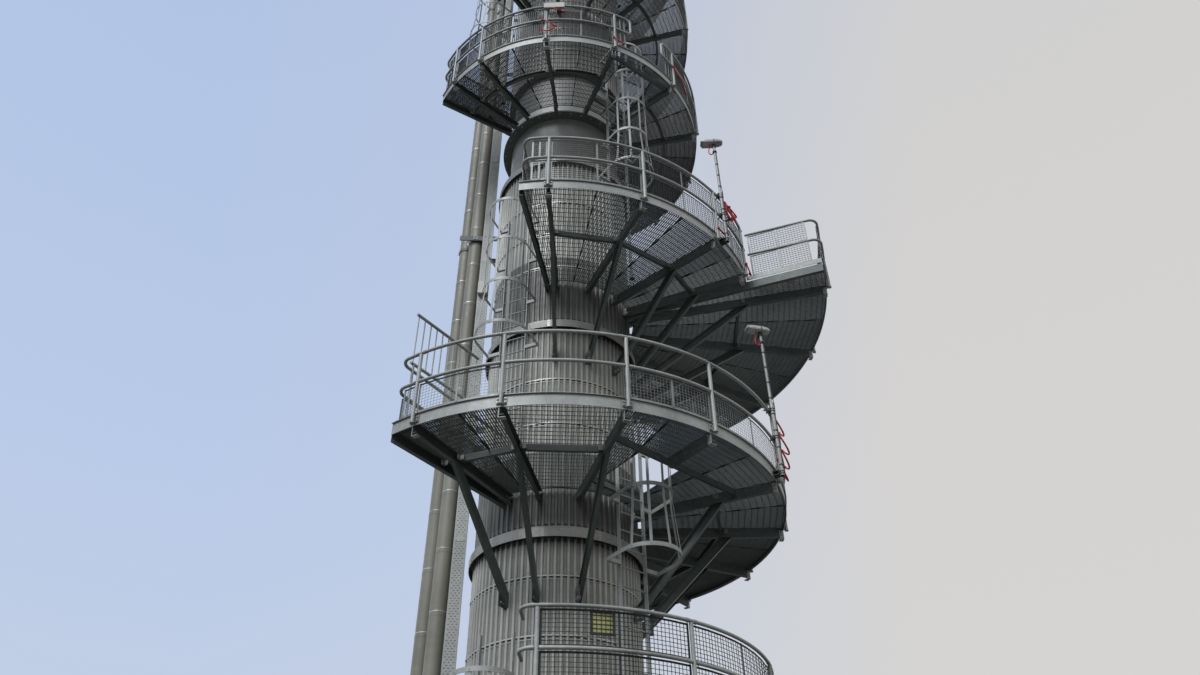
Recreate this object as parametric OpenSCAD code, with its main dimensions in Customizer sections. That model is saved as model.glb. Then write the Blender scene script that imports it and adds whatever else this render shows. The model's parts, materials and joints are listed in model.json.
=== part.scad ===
// Distillation column with ring platforms, caged ladders and overhead line.
// Millimetres. The origin is on the column's axis at the underside of the base ring, +Z up.
// Angles run counter-clockwise from +X, so -90 is the front of the column.

/* [Vessel] */
// Outside diameter of the steel vessel
shell_d = 2340; // [2200:10:2480]
// Thickness of the vessel wall and its heads
shell_t = 16; // [10:1:30]
// Height of the bottom tangent line, where the lower head starts
bottom_tangent_z = 3600; // [3300:10:3800]
// Height of the top tangent line, where the upper head starts
top_tangent_z = 31200; // [31000:10:32000]

/* [Skirt and base] */
// Thickness of the skirt plate
skirt_t = 18; // [12:1:30]
// Height of the skirt's top edge
skirt_top_z = 3900; // [3820:10:4000]
// Outside diameter of the base ring
base_d = 2860; // [2760:10:3000]
// Thickness of the base ring
base_t = 40; // [30:1:60]
// Number of anchor bolt holes
bolt_count = 16; // [16:8:24]
// Radius of an anchor bolt hole
bolt_hole_r = 24; // [20:1:27]
// How far the anchor bolt circle lies outside the middle of the ledge between skirt and rim
bolt_offset = 11; // [0:1:20]
// Height of the underside of the compression ring over the base ring
chair_h = 300; // [240:10:360]
// Width of the access opening in the skirt
access_w = 620; // [560:10:680]
// Height of the access opening's centre over the base
access_z = 1100; // [1000:10:1200]

/* [Insulation] */
// Thickness of the insulation with its cladding, out to the rib crests
insulation_t = 130; // [110:5:150]
// Height of a cladding rib
rib_h = 18; // [10:1:24]
// Number of cladding ribs round the column
rib_count = 84; // [72:4:96]
// How far a flashing ring stands proud of the ribs
flashing_proud = 70; // [50:5:90]
// Height of a flashing ring's outer face
flashing_h = 190; // [120:10:220]
// Underside of the lower flashing ring
flashing_1_z = 7500; // [7400:10:7560]
// Underside of the middle flashing ring
flashing_2_z = 11420; // [11300:10:11500]
// Underside of the ring that ends the cladding
flashing_3_z = 15720; // [15600:10:15800]
// Underside of the ring where the cladding starts again
flashing_4_z = 18900; // [18880:10:19000]
// Underside of the ring between the two top platforms
flashing_5_z = 24300; // [24200:10:24400]
// Underside of the ring at the top tangent line
flashing_6_z = 30850; // [30800:10:30900]

/* [Platform 1] */
// Underside of the toe plate
p1_z = 4580; // [4500:10:4660]
// Outer radius
p1_r = 3050; // [2950:10:3150]

/* [Platform 2] */
// Underside of the toe plate
p2_z = 8230; // [8150:10:8310]
// Outer radius
p2_r = 3650; // [3550:10:3700]

/* [Platform 3] */
// Underside of the toe plate
p3_z = 12420; // [12340:10:12500]
// Outer radius of the narrow part
p3_r = 3610; // [3510:10:3700]
// Outer radius of the wide part
p3_wide_r = 4970; // [4850:10:5050]

/* [Platform 4] */
// Underside of the toe plate
p4_z = 17490; // [17410:10:17570]
// Outer radius
p4_r = 2960; // [2900:10:3050]

/* [Platform 5] */
// Underside of the toe plate
p5_z = 21300; // [21220:10:21380]
// Outer radius
p5_r = 3030; // [2950:10:3100]

/* [Platform 6] */
// Underside of the toe plate
p6_z = 25400; // [25320:10:25480]
// Outer radius
p6_r = 2960; // [2900:10:3050]

/* [Platform 7] */
// Underside of the toe plate
p7_z = 29800; // [29720:10:29880]
// Outer radius
p7_r = 2960; // [2900:10:3050]

/* [Platform parts] */
// Height of the toe plate round the rim
toe_h = 180; // [150:5:200]
// Height of the deck's surface over the toe plate's underside
deck_over_toe = 80; // [60:5:100]
// Thickness of the grating
grating_t = 32; // [25:1:40]
// Depth of a radial channel
beam_h = 160; // [120:5:180]
// Width of a radial channel
beam_w = 65; // [50:5:75]
// Depth of a knee brace
brace_h = 140; // [100:5:160]
// Drop from the toe plate's underside to a knee brace's foot
brace_drop = 1600; // [1400:20:1800]
// Depth of a cross channel between two radial channels
cross_h = 100; // [80:5:120]
// Gap between the cladding and the deck
deck_gap = 60; // [40:5:80]

/* [Handrail] */
// Height of the top rail's centre over the toe plate's underside
rail_top = 1180; // [1100:10:1250]
// Height of the middle rail's centre over the toe plate's underside
rail_mid = 680; // [600:10:740]
// Diameter of the rails
rail_d = 48; // [38:1:52]
// Diameter of the posts
post_d = 54; // [50:1:60]

/* [Ladders] */
// Distance between the stiles' centres
ladder_w = 450; // [420:10:500]
// Distance between rungs
rung_pitch = 280; // [250:5:300]
// Diameter of a rung
rung_d = 22; // [20:1:30]
// Radius of a cage hoop
hoop_r = 380; // [350:5:400]
// Distance between cage hoops
hoop_pitch = 950; // [800:10:1100]
// Height of the lowest hoop over the foot of the ladder
cage_start = 2250; // [2100:10:2500]
// How far the stiles rise over the landing
landing_rise = 1150; // [1050:10:1250]
// Radius from the column's axis to a ladder between two platforms
ladder_r = 1880; // [1840:10:1930]

/* [Lines] */
// Outside diameter of the overhead line
overhead_d = 285; // [250:5:300]
// Outside diameter of the relief line
relief_d = 280; // [240:5:290]
// Wall of both lines
line_t = 10; // [6:1:16]
// Distance from the column's axis to the overhead line
overhead_x = 1770; // [1740:5:1800]
// Height of the lower end of both lines
line_end_z = 2600; // [2400:20:2800]

/* [Hidden] */
$fn = 72;
// Clearance where bolted pieces lie against each other
seat = 0.3;
shell_r = shell_d / 2;
bolt_circle_d = shell_r + skirt_t + base_d / 2 + 2 * bolt_offset;
cross_w = 50;
crest_r = shell_r + insulation_t;
flashing_r = crest_r + flashing_proud;
plate_t = 8;
// Facets of a full turn on the wide bands, fine enough that seated pieces stay apart
wide_fn = 360;
// The hatch that ladders climb through, in a platform's deck
hatch_a = -56;
hatch_half = 410;
hatch_in = ladder_r - 150;
hatch_out = 820;

// Post angles of each platform, from its left end to its right end
p1_posts = [-94, -58, -21, 15, 51, 86];
p2_posts = [-122, -102, -76, -55, -27, -2, 23, 48, 71];
p3_posts = [-94, -69, -44, -27];
p3_wide_posts = [-16, 6, 28, 50];
p4_posts = [-141, -126, -98, -71, -41, -14, 13, 40, 62];
p5_posts = [-123, -98, -71, -44, -17, 10, 37, 62];
p6_posts = [-141, -126, -98, -71, -41, -14, 13, 40, 62];
p7_posts = [-123, -98, -71, -44, -17, 10, 37, 64, 91, 118, 146];

// Where radial channels start, and where the rail stops beside a ladder's landing
inner_r = crest_r + 12;
landing_r = ladder_r + 2 * hoop_r + 60;

// One row a platform: level, outer radius, posts, how far it runs on past the first and the last
// post in degrees, whether it has a hatch, whether it ends at its right, where its left edge
// starts, and where the rail along its left edge stops
P1 = [p1_z, p1_r, p1_posts, 4, 4, false, true, inner_r, landing_r];
P2 = [p2_z, p2_r, p2_posts, 6, 6, true, true, inner_r, inner_r + 80];
P3 = [p3_z, p3_r, p3_posts, 7, 4, false, false, inner_r, landing_r];
P3_WIDE = [p3_z, p3_wide_r, p3_wide_posts, 7, 7, false, true, p3_r + 10, p3_r + 90];
P4 = [p4_z, p4_r, p4_posts, 10, 8, true, true, inner_r, inner_r + 80];
P5 = [p5_z, p5_r, p5_posts, 5, 5, false, true, inner_r, landing_r];
P6 = [p6_z, p6_r, p6_posts, 10, 8, true, true, inner_r, inner_r + 80];
P7 = [p7_z, p7_r, p7_posts, 5, 5, false, true, inner_r, landing_r];
PLATFORMS = [P1, P2, P3, P3_WIDE, P4, P5, P6, P7];

function level(p) = p[0];
function outer(p) = p[1];
function posts(p) = p[2];
function has_hatch(p) = p[5];
function has_end(p) = p[6];
function rail_gap(p) = level(p) == p4_z ? [-64, -48] : [];
function edge_start(p, side) = side < 0 ? p[7] : inner_r;
function rail_stop(p, side) = side < 0 ? p[8] : inner_r + 80;
function last(v) = v[len(v) - 1];
function from_a(p) = posts(p)[0] - p[3];
function to_a(p) = last(posts(p)) + p[4];
function deck_top(p) = level(p) + deck_over_toe;
function beam_top(p) = deck_top(p) - grating_t - seat;
function rail_r(p) = outer(p) + post_d / 2 + 27 + seat;
// A radial channel that would cross a hatch only runs from the trimmer to the rim
function in_hatch(p, a) = has_hatch(p) && abs(a - hatch_a) < 10;
function beams(p) = concat([from_a(p)], posts(p), has_end(p) ? [to_a(p)] : []);
function full_beams(p) = [for (a = beams(p)) if (!in_hatch(p, a)) a];

// A band bent round the axis: radii r1 to r2, heights z1 to z2, angles a1 to a2
module arc_band(r1, r2, z1, z2, a1, a2) {
  rotate([0, 0, a1]) rotate_extrude(angle = a2 - a1, $fn = wide_fn)
    translate([r1, z1]) square([r2 - r1, z2 - z1]);
}

// A round bar bent round the axis
module arc_bar(r, z, d, a1, a2) {
  rotate([0, 0, a1]) rotate_extrude(angle = a2 - a1, $fn = wide_fn)
    translate([r, z]) circle(d = d, $fn = 24);
}

// A channel along +X, its web on the -Y side, its top at z = 0
module channel(length, h, w) {
  rotate([90, 0, 90]) linear_extrude(length) polygon([
    [-w / 2, -h], [w / 2, -h], [w / 2, -h + plate_t], [-w / 2 + plate_t, -h + plate_t],
    [-w / 2 + plate_t, -plate_t], [w / 2, -plate_t], [w / 2, 0], [-w / 2, 0]
  ]);
}

// Base

module base_ring() {
  step = 360 / 8;
  color("dimgray") difference() {
    for (i = [0 : 7]) {
      gap_a = seat / base_d * 360 / PI;
      arc_band(shell_r - 120, base_d / 2, 0, base_t, i * step + gap_a, (i + 1) * step - gap_a);
    }
    for (i = [0 : bolt_count - 1])
      rotate([0, 0, (i + 0.5) * 360 / bolt_count])
        translate([bolt_circle_d / 2, 0, -1]) cylinder(r = bolt_hole_r, h = base_t + 2, $fn = 32);
  }
}

module anchor_chairs() {
  gusset_t = 16;
  skirt_out = shell_r + skirt_t + 2 * seat;
  color("dimgray") for (i = [0 : bolt_count - 1]) {
    a = (i + 0.5) * 360 / bolt_count;
    rotate([0, 0, a]) for (side = [-1, 1])
      translate([skirt_out, side * (bolt_hole_r + 36) - gusset_t / 2, base_t + seat])
        rotate([90, 0, 0]) translate([0, 0, -gusset_t]) linear_extrude(gusset_t) polygon([
          [0, 0], [base_d / 2 - skirt_out - 20, 0], [base_d / 2 - skirt_out - 20, chair_h * 0.3],
          [bolt_circle_d / 2 - skirt_out + 40, chair_h], [0, chair_h]
        ]);
    rotate([0, 0, a]) difference() {
      translate([skirt_out, -bolt_hole_r - 70, base_t + chair_h + 2 * seat])
        cube([bolt_circle_d / 2 - skirt_out + 60, 2 * bolt_hole_r + 140, 25]);
      translate([bolt_circle_d / 2, 0, base_t + chair_h])
        cylinder(r = bolt_hole_r, h = 60, $fn = 32);
    }
  }
}

module skirt() {
  access_half = 30;
  step = (360 - 2 * access_half) / 6;
  gap_a = seat / shell_r * 90 / PI;
  color("gray") for (i = [0 : 5]) {
    a = -90 + access_half + i * step;
    arc_band(shell_r + seat, shell_r + seat + skirt_t, base_t + seat, skirt_top_z,
      a + gap_a, a + step - gap_a);
  }
}

// The plate of the skirt that holds the access opening, with its collar
module skirt_access() {
  access_half = 30;
  gap_a = seat / shell_r * 90 / PI;
  color("gray") {
    difference() {
      arc_band(shell_r + seat, shell_r + seat + skirt_t, base_t + seat, skirt_top_z,
        -90 - access_half + gap_a, -90 + access_half - gap_a);
      translate([0, 0, access_z]) rotate([90, 0, 0])
        cylinder(d = access_w, h = base_d);
    }
    difference() {
      translate([0, -shell_r + 60, access_z]) rotate([90, 0, 0])
        cylinder(d = access_w, h = 200);
      translate([0, -shell_r + 100, access_z]) rotate([90, 0, 0])
        cylinder(d = access_w - 32, h = 300);
    }
  }
}

// Vessel

// An elliptical shell of revolution, half as deep as wide, opening towards -Z
module dished_head(r, t) {
  steps = 16;
  outer_pts = [for (i = [0 : steps]) [r * cos(i * 90 / steps), r / 2 * sin(i * 90 / steps)]];
  inner_pts = [for (i = [steps : -1 : 0]) [(r - t) * cos(i * 90 / steps), (r / 2 - t) * sin(i * 90 / steps)]];
  rotate_extrude() polygon(concat(outer_pts, inner_pts));
}

module bottom_head() {
  color("gray") translate([0, 0, bottom_tangent_z - seat]) mirror([0, 0, 1]) dished_head(shell_r, shell_t);
}

module shell() {
  color("gray") difference() {
    translate([0, 0, bottom_tangent_z]) cylinder(r = shell_r, h = top_tangent_z - bottom_tangent_z);
    translate([0, 0, bottom_tangent_z - 1])
      cylinder(r = shell_r - shell_t, h = top_tangent_z - bottom_tangent_z + 2);
  }
}

module top_head() {
  nozzle_z = shell_r / 2 - 40;
  flange_t = 36;
  color("gray") translate([0, 0, top_tangent_z + seat]) {
    dished_head(shell_r, shell_t);
    difference() {
      translate([0, 0, nozzle_z]) cylinder(d = overhead_d, h = 240);
      translate([0, 0, nozzle_z - 60]) cylinder(d = overhead_d - 2 * line_t, h = 400);
    }
    difference() {
      translate([0, 0, nozzle_z + 240]) cylinder(d = overhead_d + 2 * nozzle_flange[0], h = flange_t);
      translate([0, 0, nozzle_z + 200]) cylinder(d = overhead_d - 2 * line_t, h = 200);
    }
  }
}

// Clearance of the cladding round what stands out through it
slot_clear = 4;

// Cladding: a ribbed sheet standing off the vessel on its insulation
module ribbed_shell(z1, z2) {
  step = 360 / rib_count;
  valley = crest_r - rib_h;
  pts = [for (i = [0 : rib_count - 1]) for (k = [
    [0.00, valley], [0.42, valley], [0.56, crest_r], [0.86, crest_r]
  ]) k[1] * [cos((i + k[0]) * step), sin((i + k[0]) * step)]];
  difference() {
    translate([0, 0, z1]) linear_extrude(z2 - z1) difference() {
      polygon(pts);
      circle(r = shell_r + seat);
    }
    for (c = CLIPS) if (c[1] > z1 - 200 && c[2] < z2 + 200) clip(c, slot_clear);
    for (m = MANWAYS) if (manway_z(m) > z1 && manway_z(m) < z2)
      rotate([0, 0, m[1]]) translate([shell_r - 200, 0, manway_z(m)]) rotate([0, 90, 0])
        cylinder(d = manway_d + 2 * slot_clear, h = 500);
    if (relief_z > z1 && relief_z < z2) translate([0, relief_y, relief_z]) rotate([0, -90, 0])
      cylinder(d = relief_d + 2 * slot_clear, h = crest_r + 100);
    for (z = support_levels) if (z > z1 && z < z2) for (y = support_y) support_arm(y, z, slot_clear);
  }
}

// The cladding under a flashing ends behind its face, the cladding over it starts on its cap
function tuck_z(z) = z + flashing_h - 55;
function over_z(z) = z + flashing_h + cap_rise + seat;

module cladding_1() {
  color("silver") ribbed_shell(skirt_top_z + 20, tuck_z(flashing_1_z));
}
module cladding_2() {
  color("silver") ribbed_shell(over_z(flashing_1_z), tuck_z(flashing_2_z));
}
module cladding_3() {
  color("silver") ribbed_shell(over_z(flashing_2_z), tuck_z(flashing_3_z));
}
module cladding_4() {
  color("silver") ribbed_shell(flashing_4_z, tuck_z(flashing_5_z));
}
module cladding_5() {
  color("silver") ribbed_shell(over_z(flashing_5_z), tuck_z(flashing_6_z));
}

// How far a flashing's cap rises to the shell
cap_rise = 6;

// A flashing ring is a bent sheet: a flat outer face with a sloped weather cap
module flashing(z) {
  sheet_t = 12;
  inside = shell_r + seat;
  translate([0, 0, z]) rotate_extrude($fn = wide_fn) polygon([
    [flashing_r - sheet_t, 0], [flashing_r, 0], [flashing_r, flashing_h - 40],
    [crest_r + 20, flashing_h], [inside, flashing_h + cap_rise],
    [inside, flashing_h - 30], [crest_r + 10, flashing_h - 36],
    [flashing_r - sheet_t, flashing_h - 54]
  ]);
}

module flashings() {
  color("lightgray") {
    for (z = [flashing_1_z, flashing_2_z, flashing_3_z, flashing_5_z, flashing_6_z]) flashing(z);
  }
}

// Platforms

// A radial channel with its top at the underside of the grating
module radial_beam(p, a) {
  start = in_hatch(p, a) ? short_beam_start(p, a) : inner_r;
  rotate([0, 0, a]) translate([start, 0, beam_top(p)])
    channel(outer(p) - plate_t - 2 * seat - start, beam_h, beam_w);
}

// Where a short channel seats on the trimmer, which is square across the middle of its own bay
function hatch_bay(p) = [for (i = [0 : len(full_beams(p)) - 2])
  if (full_beams(p)[i] < hatch_a && full_beams(p)[i + 1] > hatch_a)
    (full_beams(p)[i] + full_beams(p)[i + 1]) / 2][0];
function short_beam_start(p, a) = (trimmer_x(p) + cross_w / 2) / cos(a - hatch_bay(p))
  + beam_w / 2 * tan(abs(a - hatch_bay(p))) + seat;

// A knee brace under a radial channel: a channel with a level head and an upright foot
module knee_brace(p, a, reach) {
  w = beam_w - 5;
  foot = [inner_r, level(p) - brace_drop];
  head = [reach, beam_top(p) - beam_h - seat];
  slope = atan2(head.y - foot.y, head.x - foot.x);
  band = function(half) [
    [foot.x, foot.y - half / cos(slope)], [head.x + half / sin(slope), head.y],
    [head.x - half / sin(slope), head.y], [foot.x, foot.y + half / cos(slope)]
  ];
  rotate([0, 0, a]) rotate([90, 0, 0]) translate([0, 0, -w / 2]) difference() {
    linear_extrude(w) polygon(band(brace_h / 2));
    translate([0, 0, plate_t]) linear_extrude(w) difference() {
      polygon(band(brace_h / 2 - plate_t));
      translate([foot.x, foot.y]) circle(r = brace_h / 2, $fn = 4);
    }
  }
}

// Distance from the axis to the trimmer that closes a hatch, and to the cross channels
function trimmer_x(p) = min(outer(p) - 260, ladder_r + hatch_out) + cross_w / 2;
function cross_r(p) = crest_r + (outer(p) - crest_r) * 0.57;

// A straight channel between two radial channels, square across the middle of their bay
module cross_channel(p, a1, a2, x) {
  half = (a2 - a1) / 2;
  reach = (x - cross_w / 2) * tan(half) - beam_w / 2 / cos(half) - seat;
  rotate([0, 0, (a1 + a2) / 2]) translate([x, -reach, beam_top(p)]) rotate([0, 0, 90])
    channel(2 * reach, cross_h, cross_w);
}

// A channel rolled round the column between two radial channels
module curved_channel(p, a1, a2) {
  r = cross_r(p);
  z = beam_top(p);
  cut = (beam_w / 2 + seat) / (r - cross_w / 2) * 180 / PI;
  rotate([0, 0, a1 + cut]) rotate_extrude(angle = a2 - a1 - 2 * cut, $fn = wide_fn) translate([r, z]) polygon([
    [-cross_w / 2, -cross_h], [cross_w / 2, -cross_h], [cross_w / 2, -cross_h + plate_t],
    [-cross_w / 2 + plate_t, -cross_h + plate_t], [-cross_w / 2 + plate_t, -plate_t],
    [cross_w / 2, -plate_t], [cross_w / 2, 0], [-cross_w / 2, 0]
  ]);
}

// The toe plate round the rim, rolled with a lip, in a length for each bay
module rim(p) {
  z = level(p);
  r = outer(p);
  edges = concat([from_a(p)], posts(p), [to_a(p)]);
  n = len(edges);
  cut = seat / r * 90 / PI;
  end_a = beam_w / 2 / r * 180 / PI;
  for (i = [0 : n - 2]) {
    a1 = i == 0 ? edges[i] - end_a : edges[i] + cut;
    a2 = i < n - 2 ? edges[i + 1] - cut : edges[i + 1] + (has_end(p) ? end_a : -end_a - cut);
    rotate([0, 0, a1]) rotate_extrude(angle = a2 - a1, $fn = wide_fn) polygon([
      [r - plate_t, z], [r, z], [r, z + toe_h - plate_t], [r + 25, z + toe_h - plate_t],
      [r + 25, z + toe_h], [r - plate_t, z + toe_h]
    ]);
  }
}

// The toe plate along a platform's radial end
module end_plate(p, a, side) {
  start = edge_start(p, side);
  rotate([0, 0, a])
    translate([start, side * (beam_w - plate_t) / 2 - plate_t / 2, deck_top(p) + seat])
      cube([outer(p) - plate_t - 2 * seat - start, plate_t, toe_h - deck_over_toe]);
}

module platform_frame(p, braced) {
  b = beams(p);
  full = full_beams(p);
  for (a = b) radial_beam(p, a);
  if (braced) for (a = posts(p)) if (!in_hatch(p, a)) knee_brace(p, a, cross_r(p) + 60);
  for (i = [0 : len(full) - 2]) if (full[i + 1] - full[i] > 8) {
    half = (full[i + 1] - full[i]) / 2;
    over_hatch = has_hatch(p) && full[i] < hatch_a && full[i + 1] > hatch_a;
    if (over_hatch || braced)
      cross_channel(p, full[i], full[i + 1], over_hatch ? trimmer_x(p) : cross_r(p) * cos(half));
    else curved_channel(p, full[i], full[i + 1]);
    if (over_hatch) cross_channel(p, full[i], full[i + 1], hatch_in - cross_w - 10);
  }
}

// A grating panel's openings: rows out from the column, columns between radial bars
grating_pitch = 380;
grating_bar = 60;
function hole_corner(r, a, side) =
  r * [cos(a), sin(a)] + side * grating_bar / 2 * [-sin(a), cos(a)];
// Corners seen along the hatch's axis, which openings stay clear of
function hatch_x(q) = [for (c = q) c * [cos(hatch_a), sin(hatch_a)]];
function hatch_y(q) = [for (c = q) c * [-sin(hatch_a), cos(hatch_a)]];
function beside_seam(q) = min(hatch_y(q)) > hatch_half + grating_bar || max(hatch_y(q)) < -hatch_half - grating_bar
  || (max(hatch_y(q)) < hatch_half - grating_bar && min(hatch_y(q)) > grating_bar - hatch_half);
function clear_of_hatch(p, q) = beside_seam(q) && (max(hatch_x(q)) < hatch_in - grating_bar
  || min(hatch_x(q)) > trimmer_x(p) + grating_bar || min(hatch_y(q)) > hatch_half || max(hatch_y(q)) < -hatch_half);

// Angle of the ladder that stands on a deck, if one does
function foot_a(p) = p == P1 || p == P3 || p == P5 ? hatch_a
  : p == P2 ? from_a(P3) - beside(ladder_r)
  : p == P4 ? from_a(P5) - beside(ladder_r)
  : p == P6 ? from_a(P7) - beside(ladder_r) : undef;
function foot_x(q, a) = [for (c = q) c * [cos(a), sin(a)]];
function foot_y(q, a) = [for (c = q) c * [-sin(a), cos(a)]];
function clear_of_foot(p, q) = is_undef(foot_a(p)) || min(foot_x(q, foot_a(p))) > ladder_r + foot_room
  || max(foot_x(q, foot_a(p))) < ladder_r - foot_room
  || min(foot_y(q, foot_a(p))) > ladder_w / 2 + foot_room || max(foot_y(q, foot_a(p))) < -ladder_w / 2 - foot_room;
// Bearing kept round the foot of a ladder's stiles
foot_room = 60;

module grating_holes(p, a1, a2) {
  r1 = crest_r + deck_gap + grating_bar;
  r2 = outer(p) - plate_t - grating_bar;
  rows = max(1, round((r2 - r1) / grating_pitch));
  cols = max(1, round((a2 - a1) * PI / 180 * (r1 + r2) / 2 / grating_pitch));
  step_r = (r2 - r1 + grating_bar) / rows;
  step_a = (a2 - a1) / cols;
  for (i = [0 : rows - 1]) for (j = [0 : cols - 1]) {
    in_r = r1 + i * step_r;
    out_r = in_r + step_r - grating_bar;
    from = a1 + j * step_a;
    corners = [
      hole_corner(in_r, from, 1), hole_corner(out_r, from, 1),
      hole_corner(out_r, from + step_a, -1), hole_corner(in_r, from + step_a, -1)
    ];
    if (clear_of_foot(p, corners) && (!has_hatch(p) || clear_of_hatch(p, corners))) polygon(corners);
  }
}

// Grating panels, one in each bay. Seams run on from the hatch, so that each panel is one plate
module platform_deck(p) {
  b = concat([from_a(p)], posts(p), [to_a(p)]);
  r = outer(p) - plate_t - 2;
  z2 = deck_top(p);
  gap_a = 2 / outer(p) * 180 / PI;
  seam = 3;
  difference() {
    for (i = [0 : len(b) - 2]) difference() {
      arc_band(crest_r + deck_gap, r, z2 - grating_t, z2, b[i] + gap_a, b[i + 1] - gap_a);
      translate([0, 0, z2 - grating_t - 1]) linear_extrude(grating_t + 2) grating_holes(p, b[i], b[i + 1]);
    }
    if (has_hatch(p)) rotate([0, 0, hatch_a]) translate([0, 0, z2 - grating_t - 1]) {
      translate([hatch_in, -hatch_half, 0])
        cube([trimmer_x(p) - cross_w / 2 - hatch_in, 2 * hatch_half, grating_t + 2]);
      for (side = [-1, 1]) translate([0, side * hatch_half - seam / 2, 0]) cube([r, seam, grating_t + 2]);
    }
  }
}

// A post with its foot plate, bolted to the outside of the rim
module post(p, a) {
  foot_t = 16;
  foot_z = 35;
  rotate([0, 0, a]) translate([0, 0, level(p)]) {
    translate([rail_r(p), 0, 20])
      cylinder(d = post_d, h = rail_top - 20 - rail_d / 2 - seat, $fn = 24);
    translate([outer(p) + seat, -70, foot_z]) cube([foot_t, 140, 100]);
    translate([outer(p) + foot_t - 4, -post_d / 3, foot_z])
      cube([rail_r(p) - outer(p) - foot_t, post_d * 2 / 3, 100]);
  }
}

// The guard: toe plates, posts, and two rails with bent returns at both ends
module platform_rail(p) {
  v = posts(p);
  r = rail_r(p);
  z = level(p);
  cut = (post_d / 2 + seat) / r * 180 / PI;
  top_cut = seat / r * 90 / PI;
  gap = rail_gap(p);
  rim(p);
  end_plate(p, from_a(p), -1);
  if (has_end(p)) end_plate(p, to_a(p), 1);
  for (a = v) post(p, a);
  for (i = [0 : len(v) - 2]) for (h = [[rail_top, top_cut], [rail_mid, cut]]) {
    a1 = v[i] + h[1];
    a2 = v[i + 1] - h[1];
    if (gap != [] && a1 < gap[0] && a2 > gap[1]) {
      arc_bar(r, z + h[0], rail_d, a1, gap[0] - gap_bend_a(p));
      arc_bar(r, z + h[0], rail_d, gap[1] + gap_bend_a(p), a2);
    }
    else arc_bar(r, z + h[0], rail_d, a1, a2);
  }
  if (gap != []) for (side = [0, 1]) rail_loop(p, gap[side], side == 0);
  for (h = [[rail_top, 2 * top_cut], [rail_mid, cut]]) {
    rail_return(p, v[0] - h[1], -1, z + h[0]);
    if (has_end(p)) rail_return(p, last(v) + h[1], 1, z + h[0]);
  }
}

// Where the guard stops at a landing, the top rail bends down into the middle rail
loop_r = 120;
function gap_bend_a(p) = (loop_r + seat) / rail_r(p) * 180 / PI;
module rail_loop(p, a, before) {
  rotate([0, 0, a]) translate([rail_r(p), 0, level(p)]) mirror([0, before ? 0 : 1, 0]) {
    translate([0, 0, rail_mid + loop_r + seat])
      cylinder(d = rail_d, h = rail_top - rail_mid - 2 * loop_r - 2 * seat, $fn = 24);
    for (h = [[rail_top - loop_r, 0], [rail_mid + loop_r, -90]])
      translate([0, -loop_r, h[0]]) rotate([90, 0, 90]) rotate([0, 0, h[1]])
        rotate_extrude(angle = 90) translate([loop_r, 0]) circle(d = rail_d, $fn = 24);
  }
}

// A rail bends inwards at a platform's end and runs back along the radial edge
module rail_return(p, a, side, z) {
  r = rail_r(p);
  bend_r = 160;
  joint_a = seat / r * 180 / PI;
  end = side < 0 ? from_a(p) : to_a(p);
  turn_a = end - side * bend_r / r * 180 / PI;
  run = r - bend_r - rail_stop(p, side);
  straight = side * (turn_a - a) > 0.2;
  if (straight)
    arc_bar(r, z, rail_d, side < 0 ? turn_a + joint_a : a, side < 0 ? a : turn_a - joint_a);
  rotate([0, 0, straight ? turn_a : a]) translate([r - bend_r, 0, z]) {
    rotate([0, 0, side < 0 ? -90 : 0]) rotate_extrude(angle = 90)
      translate([bend_r, 0]) circle(d = rail_d, $fn = 24);
    translate([-seat, side * bend_r, 0]) rotate([0, -90, 0]) cylinder(d = rail_d, h = run, $fn = 24);
  }
}

// How far the tall guard's bar stands over the rail
guard_rise = 1020;

// A tall barred guard over the rail along a platform's left edge, beside the foot of a ladder
module side_guard(p) {
  bar_d = 20;
  bar_pitch = 130;
  guard_top = rail_top + guard_rise;
  start = 2150;
  run = outer(p) - 120 - start;
  bars = floor((run - 40) / bar_pitch);
  lift = rail_d / 2 + post_d / 2;
  rotate([0, 0, from_a(p)]) translate([start, 0, level(p)]) {
    for (z = [rail_top + lift + seat + 60, guard_top])
      translate([0, 0, z]) rotate([0, 90, 0]) cylinder(d = rail_d, h = run, $fn = 24);
    for (x = [40 : bar_pitch : 40 + bars * bar_pitch])
      translate([x, 0, rail_top + lift + seat + 60]) cylinder(d = bar_d, h = guard_top - rail_top - lift - 60, $fn = 16);
    for (x = [80, run - 60]) translate([x, 0, deck_over_toe + seat])
      cylinder(d = rail_d - 8, h = rail_top - deck_over_toe + lift + 60, $fn = 24);
  }
}

// Clips welded to the shell, which stand out through the cladding and carry the channels

clip_t = 12;
clip_out = 160;
// One row a clip: angle, lower edge, upper edge, width of the channel that it carries
function clip_rows(p, braced) = concat(
  [for (a = full_beams(p)) [a, beam_top(p) - beam_h + 5, beam_top(p) - 5, beam_w]],
  braced ? [for (a = posts(p)) if (!in_hatch(p, a))
    [a, level(p) - brace_drop - 110, level(p) - brace_drop + 110, beam_w - 5]] : []
);
CLIPS = [for (p = PLATFORMS) for (c = clip_rows(p, level(p) <= p3_z)) c];

module clip(c, clear) {
  start = c[1] < skirt_top_z ? shell_r + skirt_t + 2 * seat : shell_r + seat;
  rotate([0, 0, c[0]])
    translate([start - clear, -c[3] / 2 - seat - clip_t - clear, c[1] - clear])
      cube([crest_r + clip_out - start + 2 * clear, clip_t + 2 * clear, c[2] - c[1] + 2 * clear]);
}

module shell_clips() {
  color("slategray") for (c = CLIPS) clip(c, 0);
}

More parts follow.
